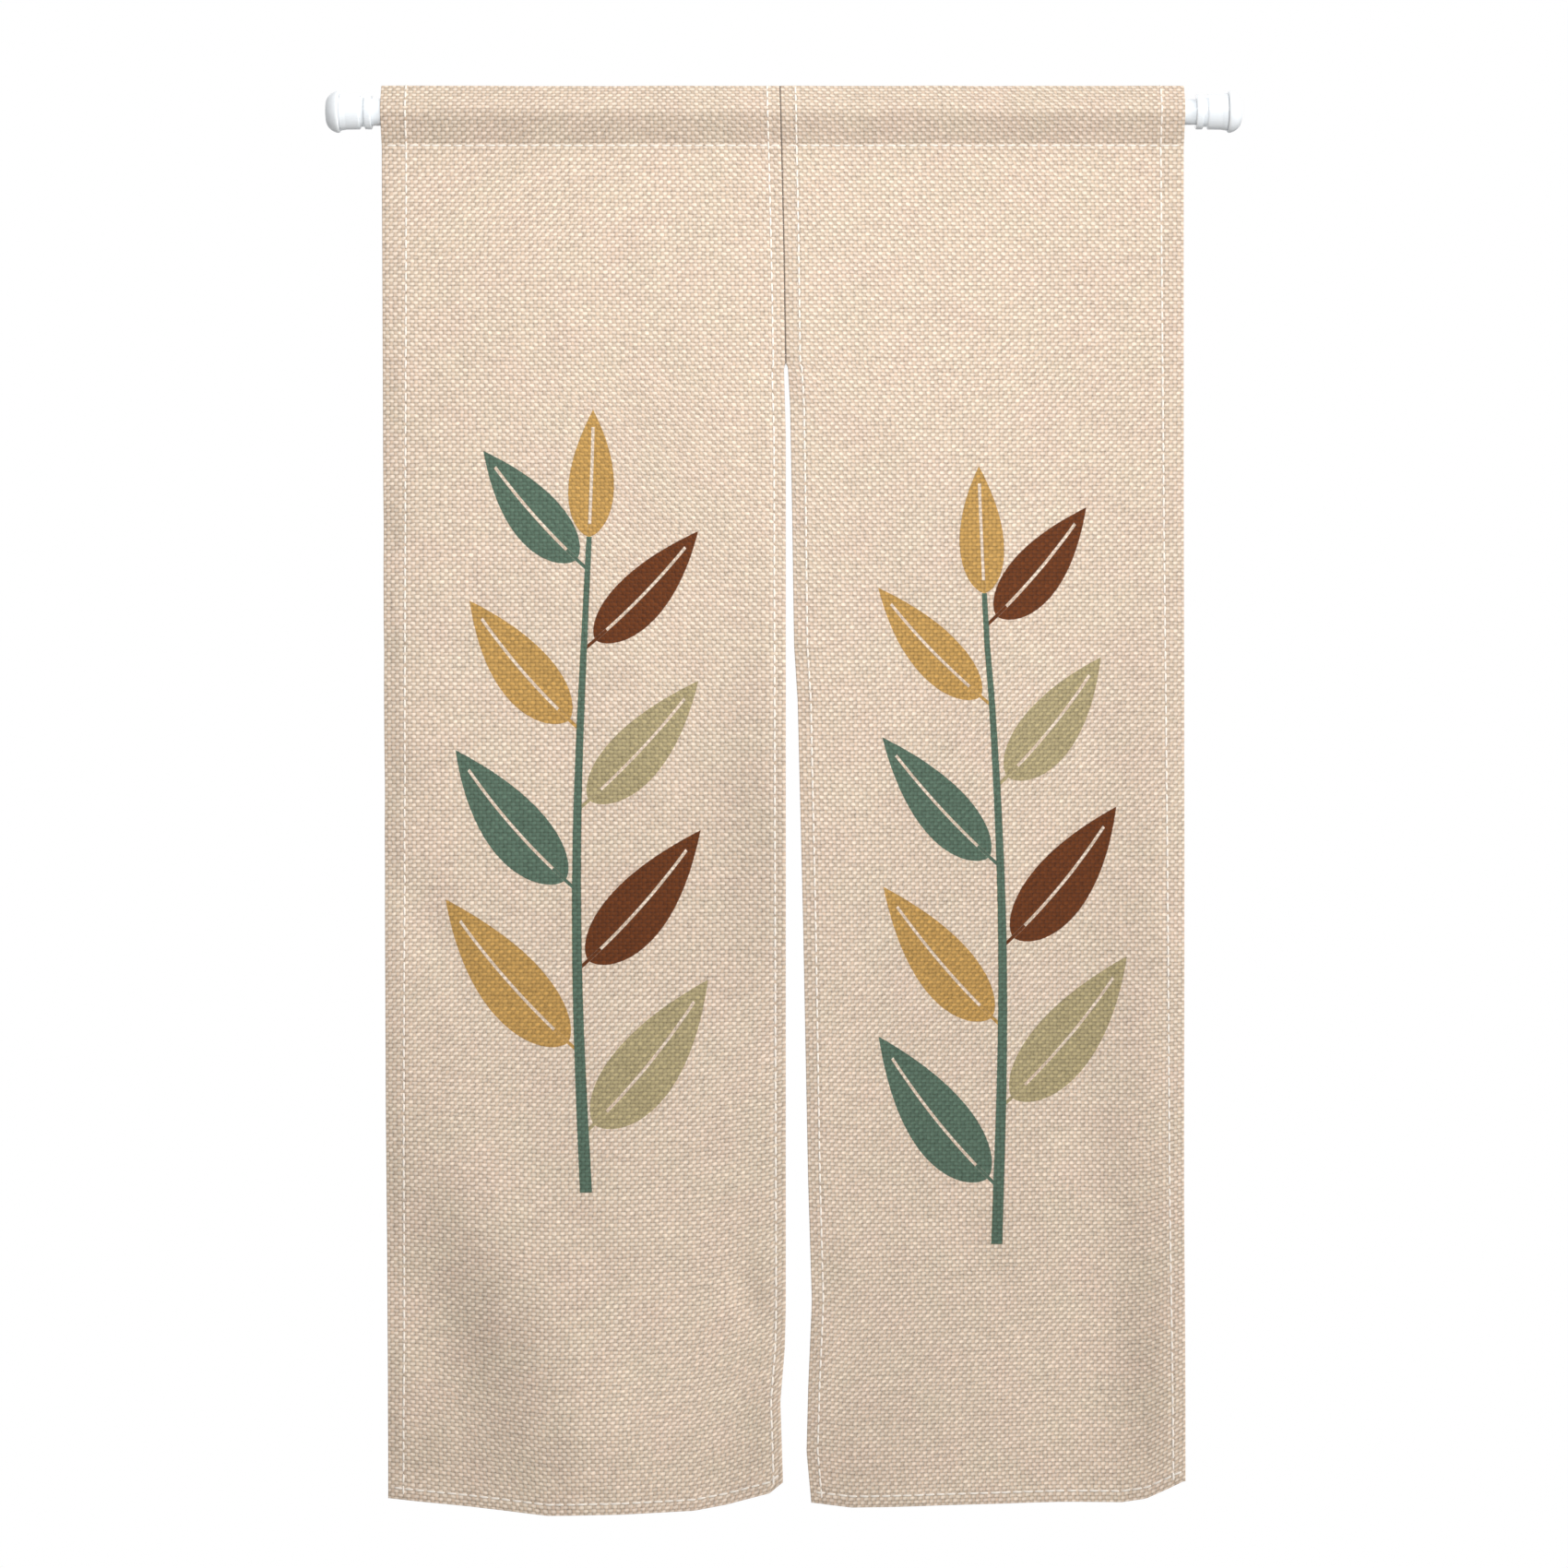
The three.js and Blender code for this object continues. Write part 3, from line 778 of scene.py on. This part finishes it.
# Sewing.
def stitch_rings(points, normals, run, start, shape, draw):
    """One stitch's thread along its line, as rings of points."""
    lengthwise = np.array(THREAD_STATIONS)
    around = np.arange(THREAD_SIDES) / THREAD_SIDES * 2 * math.pi
    swell = np.sqrt(1 - (2 * lengthwise - 1) ** THREAD_BLUNTNESS)
    slip, stretch, skew = draw
    length = shape["length"] * (1 + STITCH_SPREAD["stretch"] * stretch)
    at = start + STITCH_SPREAD["slip"] * slip + lengthwise * length
    centre = np.stack([np.interp(at, run, axis) for axis in points.T], 1)
    out = np.stack([np.interp(at, run, axis) for axis in normals.T], 1)
    out /= np.linalg.norm(out, axis=1, keepdims=True)
    beside = np.cross(np.gradient(centre, at, axis=0), out)
    beside /= np.linalg.norm(beside, axis=1, keepdims=True)
    lift = shape["lift"] * np.sin(lengthwise * math.pi)
    tilt = (lengthwise - 0.5) * (shape["skew"] + STITCH_SPREAD["skew"] * skew)
    centre = centre + out * lift[:, None] + beside * tilt[:, None]
    half_width = (shape["width"] / 2 * swell)[:, None, None]
    half_height = (shape["height"] / 2 * swell)[:, None, None]
    ring = centre[:, None] + beside[:, None] * np.cos(around)[None, :, None] * half_width
    return ring + out[:, None] * np.sin(around)[None, :, None] * half_height


def stitches(name, lines, shape, look):
    """Stitches along lines of points with normals, as one mesh of short rounded threads."""
    draws = np.random.default_rng(shape["seed"])
    rings = []
    for points, normals in lines:
        steps = np.linalg.norm(np.diff(points, axis=0), axis=1)
        run = np.concatenate([[0], np.cumsum(steps)])
        for start in np.arange(shape["pitch"] / 2, run[-1] - shape["length"], shape["pitch"]):
            rings.append(stitch_rings(points, normals, run, start, shape, draws.normal(0, 1, 3)))
    count, stations = len(rings), len(THREAD_STATIONS)
    cells = math.ceil(math.sqrt(count))
    cell = np.stack([np.arange(count) % cells, np.arange(count) // cells], -1)[:, None, None]
    turn = np.arange(THREAD_SIDES) / THREAD_SIDES
    thread = np.stack(np.meshgrid(THREAD_STATIONS, turn, indexing="ij"), -1)[None]
    baked = (cell + (1 - THREAD_CELL) / 2 + THREAD_CELL * thread) / cells
    thread = np.broadcast_to(thread, baked.shape)
    quads = ring_quads(stations, THREAD_SIDES, THREAD_SIDES, 0)
    faces = quads[None] + (np.arange(count) * stations * THREAD_SIDES)[:, None, None]
    uv_maps = {"thread": thread.reshape(-1, 2), "OFBake": baked.reshape(-1, 2)}
    piece = link_mesh(name, np.array(rings).reshape(-1, 3), faces.reshape(-1, 4), uv_maps)
    merge_touching(piece.data)
    piece.data.materials.append(look)
    return piece


def panel_stitching(panel, grid, look):
    """The hems' and the pocket's stitching, on both faces of the cloth."""
    outline, normals, rows = grid["outline"], grid["normals"], grid["rows"]
    hem_row = int(np.argmin(np.abs(rows - (HEM_DROP - HEM_HEIGHT))))
    heading_row = len(rows) - 1
    last = outline.shape[1] - 1
    reach = slice(LINE_ENDS, -LINE_ENDS)
    lines = [(outline[column, reach], normals[column, reach]) for column in panel["sewn_columns"]]
    for row in (hem_row, heading_row, last - hem_row, last - heading_row):
        lines.append((outline[reach, row], normals[reach, row]))
    shape = HEM_STITCH | dict(seed=HEM_STITCH["seed"] + panel["side"])
    return stitches(panel["name"].replace("cloth", "stitching"), lines, shape, look)


def seam_stitching_painted_shadow(left_grid, right_grid, look):
    """The stitches that draw the panels' inner edges together above the slit, coloured dark as
    painted shadow in the groove between them.
    """
    rows = left_grid["rows"]
    first = int(np.argmin(np.abs(rows - SEAM_END)))
    last = left_grid["outline"].shape[1] - len(rows)
    left = left_grid["outline"][-1, first:last]
    right = right_grid["outline"][0, first:last]
    normals = left_grid["normals"][SEAM_FACING, first:last]
    return stitches("seam_stitching_painted_shadow", [((left + right) / 2, normals)], SEAM_STITCH, look)


# The rod.
def eased(profile, reach):
    """The profile with its corners cut, no further than the reach from each."""
    for _ in range(EASING_ROUNDS):
        points = [np.array(point, float) for point in profile]
        cut = [points[0]]
        for before, corner, after in zip(points, points[1:], points[2:]):
            for other in (before, after):
                gap = np.linalg.norm(other - corner)
                cut.append(corner + (other - corner) / gap * min(reach, gap * EASING_LIMIT))
        profile = cut + [points[-1]]
    return [tuple(point) for point in profile]


def lathe(name, profile, look, replaced):
    """A solid turned about the rod's axis from (x, radius) pairs."""
    angles = np.arange(LATHE_SIDES) / LATHE_SIDES * 2 * math.pi
    x, radius = np.array(profile).T
    ring = np.stack([angles * 0, np.cos(angles), np.sin(angles)], -1)
    points = ring[None] * radius[:, None, None] + np.stack([x, x * 0, x * 0], -1)[:, None]
    faces = ring_quads(len(profile), LATHE_SIDES, LATHE_SIDES, 0)
    piece = link_mesh(name, points.reshape(-1, 3), faces)
    merge_touching(piece.data)
    piece.data.materials.append(look)
    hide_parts(replaced)
    return piece


def tube_profile(radius, begin, end):
    inside = radius - TUBE_WALL
    loop = [(begin, inside), (begin, radius), (end, radius), (end, inside), (begin, inside)]
    return eased(loop, TUBE_EASE)


def make_tubes(paint):
    start = FITTING_PROFILE[-1][0] - SOCKET_DEPTH
    outer = tube_profile(OUTER_TUBE_RADIUS, start, OUTER_TUBE_MOUTH)
    inner = tube_profile(INNER_TUBE_RADIUS, OUTER_TUBE_MOUTH - TUBE_OVERLAP, ROD_LENGTH - start)
    return [
        lathe("thick_tube", outer, paint, "outer_tube"),
        lathe("thin_tube", inner, paint, "inner_tube"),
    ]


def fitting_profile(tube_radius):
    """An end fitting in section, with the socket that its tube sits in."""
    mouth, bore = FITTING_PROFILE[-1][0], tube_radius + FIT_GAP
    floor = mouth - SOCKET_DEPTH - FIT_GAP
    socket = [(mouth, bore), (floor, bore), (floor, 0)]
    return eased([(FITTING_PROFILE[0][0], 0), *FITTING_PROFILE, *socket], FITTING_EASE)


def make_end(side, tube_radius, plastic, rubber):
    fitting = fitting_profile(tube_radius)
    foot = eased([(0, 0), *FOOT_PROFILE, (FOOT_PROFILE[-1][0], 0)], FOOT_EASE)
    if side == "right":
        foot, fitting = ([(ROD_LENGTH - x, r) for x, r in profile] for profile in (foot, fitting))
    lathe(side + "_fitting", fitting, plastic, side + "_end_fitting")
    lathe(side + "_pad", foot, rubber, side + "_foot")


# Shading.
class Value:
    """A number at each point of a surface, worked out by Math nodes."""

    def __init__(self, shade, socket):
        self.shade = shade
        self.socket = socket

    def math(self, operation, *others):
        return self.shade.math(operation, self, *others)

    def __add__(self, other):
        return self.math("ADD", other)

    def __sub__(self, other):
        return self.math("SUBTRACT", other)

    def __rsub__(self, other):
        return self.shade.math("SUBTRACT", other, self)

    def __mul__(self, other):
        return self.math("MULTIPLY", other)

    def __truediv__(self, other):
        return self.math("DIVIDE", other)

    __radd__ = __add__
    __rmul__ = __mul__

    def between(self, low, high):
        """The low number where this value is 0, and the high one where it is 1."""
        return self * (high - low) + low

    def clamped(self):
        return self.math("MAXIMUM", 0.0).math("MINIMUM", 1.0)

    def above(self, level, softness):
        """0 well below the level, 1 well above it, and a ramp of that softness between."""
        return ((self - level) / softness + 0.5).clamped()


class Shade:
    """One material's nodes, built from short calls."""

    def __init__(self, name, **sockets):
        self.material = bpy.data.materials.new(name)
        self.material.use_nodes = True
        self.tree = self.material.node_tree
        self.surface = self.tree.nodes["Principled BSDF"]
        for socket, value in sockets.items():
            title = socket.replace("_", " ").title().replace("Ior", "IOR")
            self.surface.inputs[title].default_value = value

    def feed(self, socket, value):
        if isinstance(value, Value):
            value = value.socket
        if isinstance(value, bpy.types.NodeSocket):
            self.tree.links.new(value, socket)
        elif isinstance(value, tuple) and socket.type == "RGBA":
            socket.default_value = (*value, 1)
        else:
            socket.default_value = value

    def node(self, kind, inputs=(), **settings):
        made = self.tree.nodes.new("ShaderNode" + kind)
        for name, value in settings.items():
            setattr(made, name, value)
        for name, value in dict(inputs).items():
            self.feed(made.inputs[name], value)
        return made

    def math(self, operation, *terms):
        made = self.node("Math", operation=operation)
        for socket, term in zip(made.inputs, terms):
            self.feed(socket, term)
        return Value(self, made.outputs[0])

    def vector(self, *parts):
        return self.node("CombineXYZ", dict(zip("XYZ", parts))).outputs[0]

    def uv(self, name):
        place = self.node("UVMap", uv_map=name).outputs[0]
        parts = self.node("SeparateXYZ", {"Vector": place})
        return [Value(self, socket) for socket in parts.outputs[:2]]

    def attribute(self, name):
        return Value(self, self.node("Attribute", attribute_name=name).outputs["Fac"])

    def noise(self, place, scale, detail=2.0):
        inputs = {"Vector": place, "Scale": scale, "Detail": detail}
        return Value(self, self.node("TexNoise", inputs).outputs[0])

    def waves(self, place, kind, detail=2.0):
        """Noise about zero, of the kind's scale and amount."""
        half = kind["amount"] / 2
        return self.noise(place, kind["scale"], detail).between(-half, half)

    def blend(self, share, first, second):
        made = self.node("Mix", {0: share, 6: first, 7: second}, data_type="RGBA")
        return made.outputs[2]

    def scaled(self, colour, amount):
        made = self.node("VectorMath", operation="SCALE")
        self.feed(made.inputs[0], colour)
        self.feed(made.inputs["Scale"], amount)
        return made.outputs[0]

    def finish(self, colour, roughness, height, depth, strength):
        inputs = {"Height": height, "Distance": depth, "Strength": strength}
        bump = self.node("Bump", inputs)
        self.feed(self.surface.inputs["Base Color"], colour)
        self.feed(self.surface.inputs["Roughness"], roughness)
        self.feed(self.surface.inputs["Normal"], bump.outputs[0])
        return self.material


def weave(shade, across, down):
    """Plain weave: the height of the yarns, how much the weft lies on top, and their tone.

    The tone holds painted shade low between the yarns and painted highlight on their crowns.
    """
    place = shade.vector(across, down, NOISE_AT["lean"])
    slub = shade.waves(place, SLUB, 1.0)
    lean = shade.waves(place, LEAN) + down * LEAN_DOWNWARD + LEAN_AT_ROD

    def wander(layer):
        place = shade.vector(across, down, NOISE_AT[layer])
        return shade.waves(place, WANDER) + shade.waves(place, JITTER, 1.0)

    def yarn(turn, aside, body, top):
        """Height of a yarn whose floats lie on top or below in turn, and lean to one side."""
        phase = ((turn + aside * lean) * math.pi).math("SINE") * top
        offset = aside / body.between(*YARN_HALF)
        rounded = (1.0 - offset * offset).math("MAXIMUM", 0.0).math("SQRT")
        return phase * YARN_CROSSING + rounded * YARN_ROUND + YARN_BASE

    warp, weft = across / WARP_PITCH + wander("warp"), down / WEFT_PITCH + wander("weft")
    column, row = warp.math("FLOOR"), weft.math("FLOOR")
    warp_place = shade.vector(column * BODY_APART, down * BODY_WAVES, NOISE_AT["warp_body"])
    weft_place = shade.vector(across * BODY_WAVES, row * BODY_APART, NOISE_AT["weft_body"])
    warp_body, weft_body = shade.noise(warp_place, 1.0), shade.noise(weft_place, 1.0)
    weft_height = yarn(warp + row, weft - row - 0.5, weft_body, 1.0)
    warp_height = yarn(weft + column, warp - column - 0.5, warp_body, -1.0)
    height = weft_height.math("MAXIMUM", warp_height)
    weft_on_top = (weft_height - warp_height).above(0.0, CROSSING_FADE)
    body = (weft_body - warp_body) * weft_on_top + warp_body
    # Painted shade between the yarns and painted highlight on their crowns, times each yarn's own
    # tone, with slubs.
    tone = height.between(*HEIGHT_PAINTED_SHADE) * body.between(*BODY_TONE) + slub
    return height, weft_on_top, tone


def leaf(along, beside, length, bleed):
    """The ink of one leaf that starts at its stalk: 1 in its blade, 0 in its rib and outside."""
    share = along / length
    rise = share.math("MAXIMUM", 0.0).math("POWER", LEAF_FULLNESS)
    half = rise * (1.0 - share).math("MAXIMUM", 0.0) * length * LEAF_SLIMNESS
    off_rib = beside.math("ABSOLUTE")
    blade = (half - off_rib + bleed).above(LEAF_INSET, INK_EDGE)
    past_rib = share.above(RIB_END, RIB_FADE)
    blade = blade * (off_rib.above(RIB_HALF, INK_EDGE) * (1.0 - past_rib) + past_rib)
    stalk = (1.0 - off_rib.above(STALK_HALF, INK_EDGE)) * along.above(-STALK_LENGTH, INK_EDGE)
    return blade.math("MAXIMUM", stalk * (1.0 - share.above(STALK_END, STALK_FADE)))


def inks_in_turn(shade, turn):
    """The ink of each whole number, from the first again after the last."""
    count = len(INKS)
    ramp = shade.node("ValToRGB", {"Fac": (turn.math("MODULO", float(count)) + 0.5) / float(count)})
    elements = ramp.color_ramp.elements
    ramp.color_ramp.interpolation = "CONSTANT"
    while len(elements) < count:
        elements.new(0.5)
    for index, colour in enumerate(INKS):
        elements[index].position = index / count
        elements[index].color = (*colour, 1)
    return ramp.outputs[0]


def sprigs(shade, across, down):
    """Where the print's ink lies, and its colour."""
    bleed = shade.waves(shade.vector(across, down, NOISE_AT["ink"]), INK_BLEED)
    right_panel = across.above(0.0, SIDE_FADE)
    height = SPRIG_FOOT + right_panel * SPRIG_SHIFT - down
    bend = (height * SPRIG_WAVES).math("SINE") * SPRIG_BEND
    aside = across.math("ABSOLUTE") - SPRIG_AXIS - bend
    right_leaf = aside.above(0.0, SIDE_FADE)

    climbed = height - LEAF_START - right_leaf * (LEAF_PITCH / 2)
    number = (climbed / LEAF_PITCH).math("FLOOR")
    sine, cosine = math.sin(math.radians(LEAF_ANGLE)), math.cos(math.radians(LEAF_ANGLE))
    out, up = aside.math("ABSOLUTE"), climbed - number * LEAF_PITCH - LEAF_RISE
    along = out * sine + up * cosine - LEAF_GAP
    beside = out * cosine - up * sine + along * along * LEAF_CURL
    length = (1.0 - number * LEAF_SHRINK) * LEAF_LENGTH
    counted = number.above(-0.5, COUNT_FADE) * (1.0 - number.above(LEAF_PAIRS - 0.5, COUNT_FADE))
    side_leaves = leaf(along, beside, length, bleed) * counted

    stem_half = (1.0 - height / STEM_TOP * STEM_TAPER) * (STEM_WIDTH / 2)
    stem = (stem_half - out + bleed).above(0.0, INK_EDGE) * height.above(0.0, INK_EDGE)
    stem = stem * (1.0 - height.above(STEM_TOP, INK_EDGE))
    top_leaf = leaf(height - STEM_TOP, aside, TOP_LEAF_LENGTH, bleed)

    turn = number * PAIR_TURN + right_leaf + right_panel * PANEL_TURN + 2.0 * len(INKS)
    ink = shade.blend(top_leaf, inks_in_turn(shade, turn), MUSTARD)
    ink = shade.blend(stem, ink, TEAL)
    return side_leaves.math("MAXIMUM", stem).math("MAXIMUM", top_leaf), ink


def woven_cloth():
    shade = Shade("woven_cloth", sheen_weight=0.04, sheen_roughness=0.5, specular_ior_level=0.25)
    across, down = shade.uv("cloth")
    height, weft_on_top, tone = weave(shade, across, down)
    printed, ink = sprigs(shade, across, down)
    wrong_side, layers = shade.attribute("wrong_side"), shade.attribute("layers")
    place = shade.vector(across, down, NOISE_AT["cloth"])

    def mottle(kind):
        return shade.noise(place, kind["scale"]) * kind["amount"]

    tone = tone * (MOTTLE_LEVEL + mottle(MOTTLE_WIDE) + mottle(MOTTLE_FINE))
    # Painted shade: darker where layers are sewn on behind, and over the pocket's outside.
    tone = tone * (1.0 - layers * LAYER_PAINTED_SHADE)
    hue = shade.noise(place, HUE_SCALE).between(*HUE_SPREAD).clamped()
    warps, wefts = shade.blend(hue, WARP_ROSE, WARP_STRAW), shade.blend(hue, WEFT_ROSE, WEFT_STRAW)
    yarns = shade.blend(weft_on_top, warps, wefts)
    cover = printed * wrong_side.between(1.0, SHOW_THROUGH) * height.between(*INK_COVER)
    # Ink over the yarns' own two tones, with painted shade of the weave's relief.
    inked = shade.scaled(ink, weft_on_top.between(*INK_TONE_AND_PAINTED_SHADE))
    colour = shade.scaled(shade.blend(cover, yarns, inked), tone)
    roughness, relief = height.between(*CLOTH_ROUGHNESS), height + mottle(FIBRES)
    return shade.finish(colour, roughness, relief, WEAVE_DEPTH, WEAVE_STRENGTH)


def sewing_thread(name, colour):
    shade = Shade(name, sheen_weight=0.03, specular_ior_level=0.25)
    along, around = shade.uv("thread")
    twist = ((along * TWISTS + around * STRANDS) * (2 * math.pi)).math("SINE") * 0.5 + 0.5
    # Painted shade: darker in the grooves of the twist.
    colour = shade.scaled(colour, twist.between(*THREAD_PAINTED_SHADE))
    roughness = twist.between(*THREAD_ROUGHNESS)
    return shade.finish(colour, roughness, twist, THREAD_DEPTH, THREAD_STRENGTH)


def moulded(name, colour, roughness, grain, grain_scale, **sockets):
    """White paint, plastic or rubber with a faint mottling, scuffs and its own grain."""
    shade = Shade(name, **sockets)
    place = shade.node("TexCoord").outputs["Object"]
    stretched = shade.node("Mapping", {"Vector": place, "Scale": SCUFF_STRETCH}).outputs[0]
    clouds, scuffs = shade.noise(place, **CLOUDS), shade.noise(stretched, **SCUFFS)
    tone = clouds.between(*CLOUD_TONE) - scuffs.above(**SCUFF_MARK) * SCUFF_TONE
    rough = clouds.between(roughness - CLOUD_ROUGHNESS / 2, roughness + CLOUD_ROUGHNESS / 2)
    rough = rough + scuffs.above(**SCUFF_HAZE) * SCUFF_ROUGHNESS
    fine = shade.noise(place, grain_scale)
    return shade.finish(shade.scaled(colour, tone), rough, fine, grain, GRAIN_STRENGTH)


def white_paint():
    return moulded(
        "white_paint", (0.915, 0.955, 0.99), roughness=0.30, grain=0.00008, grain_scale=900.0,
        coat_weight=0.15)


def gloss_plastic():
    return moulded(
        "gloss_plastic", (0.925, 0.962, 0.995), roughness=0.26, grain=0.00005, grain_scale=500.0,
        coat_weight=0.1)


def soft_rubber():
    return moulded(
        "soft_rubber", (0.915, 0.945, 0.97), roughness=0.62, grain=0.00018, grain_scale=1500.0)


def pale_floor():
    return moulded("pale_floor", (0.72, 0.72, 0.71), roughness=0.7, grain=0.0001, grain_scale=300.0)


# Putting it together.
def make_rod():
    tubes = make_tubes(white_paint())
    plastic, rubber = gloss_plastic(), soft_rubber()
    make_end("left", OUTER_TUBE_RADIUS, plastic, rubber)
    make_end("right", INNER_TUBE_RADIUS, plastic, rubber)
    return tubes


def make_curtain(tubes):
    cloth = woven_cloth()
    thread = sewing_thread("hem_thread", THREAD_COLOUR)
    grids = [panel_grid(panel) for panel in PANELS]
    # The seam's stitches are real sewing, coloured dark as painted shadow in the groove between the
    # panels.
    seam = seam_stitching_painted_shadow(*grids, sewing_thread("seam_thread_painted_shadow", SEAM_THREAD_PAINTED_SHADOW))
    for panel, grid in zip(PANELS, grids):
        piece = make_panel(panel, grid, cloth)
        sewn = [panel_stitching(panel, grid, thread)] + ([seam] if panel["side"] > 0 else [])
        held_by = tubes[:1] if panel["side"] < 0 else tubes
        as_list(held_by)


def make_floor():
    shape = bmesh.new()
    bmesh.ops.create_circle(shape, cap_ends=True, segments=FLOOR_SIDES, radius=FLOOR_RADIUS)
    mesh = bpy.data.meshes.new("floor")
    shape.to_mesh(mesh)
    shape.free()
    floor = bpy.data.objects.new("floor", mesh)
    bpy.context.scene.collection.objects.link(floor)
    floor.location = (ROD_MIDDLE, 0, -FLOOR_DROP)
    mesh.materials.append(pale_floor())


def make_softbox():
    lamp = bpy.data.lights.new("softbox", "AREA")
    lamp.shape = "RECTANGLE"
    lamp.size, lamp.size_y = KEY_SIZE
    lamp.energy = KEY_WATTS
    lamp.spread = math.radians(KEY_SPREAD)
    light = bpy.data.objects.new("softbox", lamp)
    bpy.context.scene.collection.objects.link(light)
    light.location = Vector(KEY_PLACE)
    light.rotation_euler = (Vector(KEY_AIM) - light.location).to_track_quat("-Z", "Y").to_euler()


def make_studio():
    """Soft light from all round and from two windows, behind a plain white backdrop."""
    world = bpy.data.worlds.new("studio")
    bpy.context.scene.world = world
    world.use_nodes = True
    nodes, links = world.node_tree.nodes, world.node_tree.links

    def step(operation, *terms):
        made = nodes.new("ShaderNodeMath")
        made.operation = operation
        for socket, term in zip(made.inputs, terms):
            if isinstance(term, bpy.types.NodeSocket):
                links.new(term, socket)
            else:
                socket.default_value = term
        return made.outputs[0]

    def glow(azimuth, elevation, softness, level):
        """A soft window, turned from the front towards +X by the azimuth, in degrees."""
        azimuth, elevation = math.radians(azimuth), math.radians(elevation)
        toward = nodes.new("ShaderNodeVectorMath")
        toward.operation = "DOT_PRODUCT"
        toward.inputs[1].default_value = (
            math.sin(azimuth) * math.cos(elevation),
            -math.cos(azimuth) * math.cos(elevation),
            math.sin(elevation),
        )
        links.new(sky, toward.inputs[0])
        facing = step("MAXIMUM", toward.outputs["Value"], 0.0)
        return step("MULTIPLY", step("POWER", facing, softness), level)

    sky = nodes.new("ShaderNodeTexCoord").outputs["Generated"]
    light_level = step("ADD", step("ADD", glow(**FRONT_WINDOW), glow(**BACK_WINDOW)), AMBIENT)
    background = nodes["Background"]
    background.inputs["Color"].default_value = (1, 1, 1, 1)
    seen = nodes.new("ShaderNodeMapRange")
    seen.inputs["To Max"].default_value = 1.0
    links.new(nodes.new("ShaderNodeLightPath").outputs["Is Camera Ray"], seen.inputs["Value"])
    links.new(light_level, seen.inputs["To Min"])
    links.new(seen.outputs[0], background.inputs["Strength"])
    bpy.context.scene.view_settings.view_transform = "Standard"


make_camera()
make_curtain(make_rod())
make_floor()
make_softbox()
make_studio()
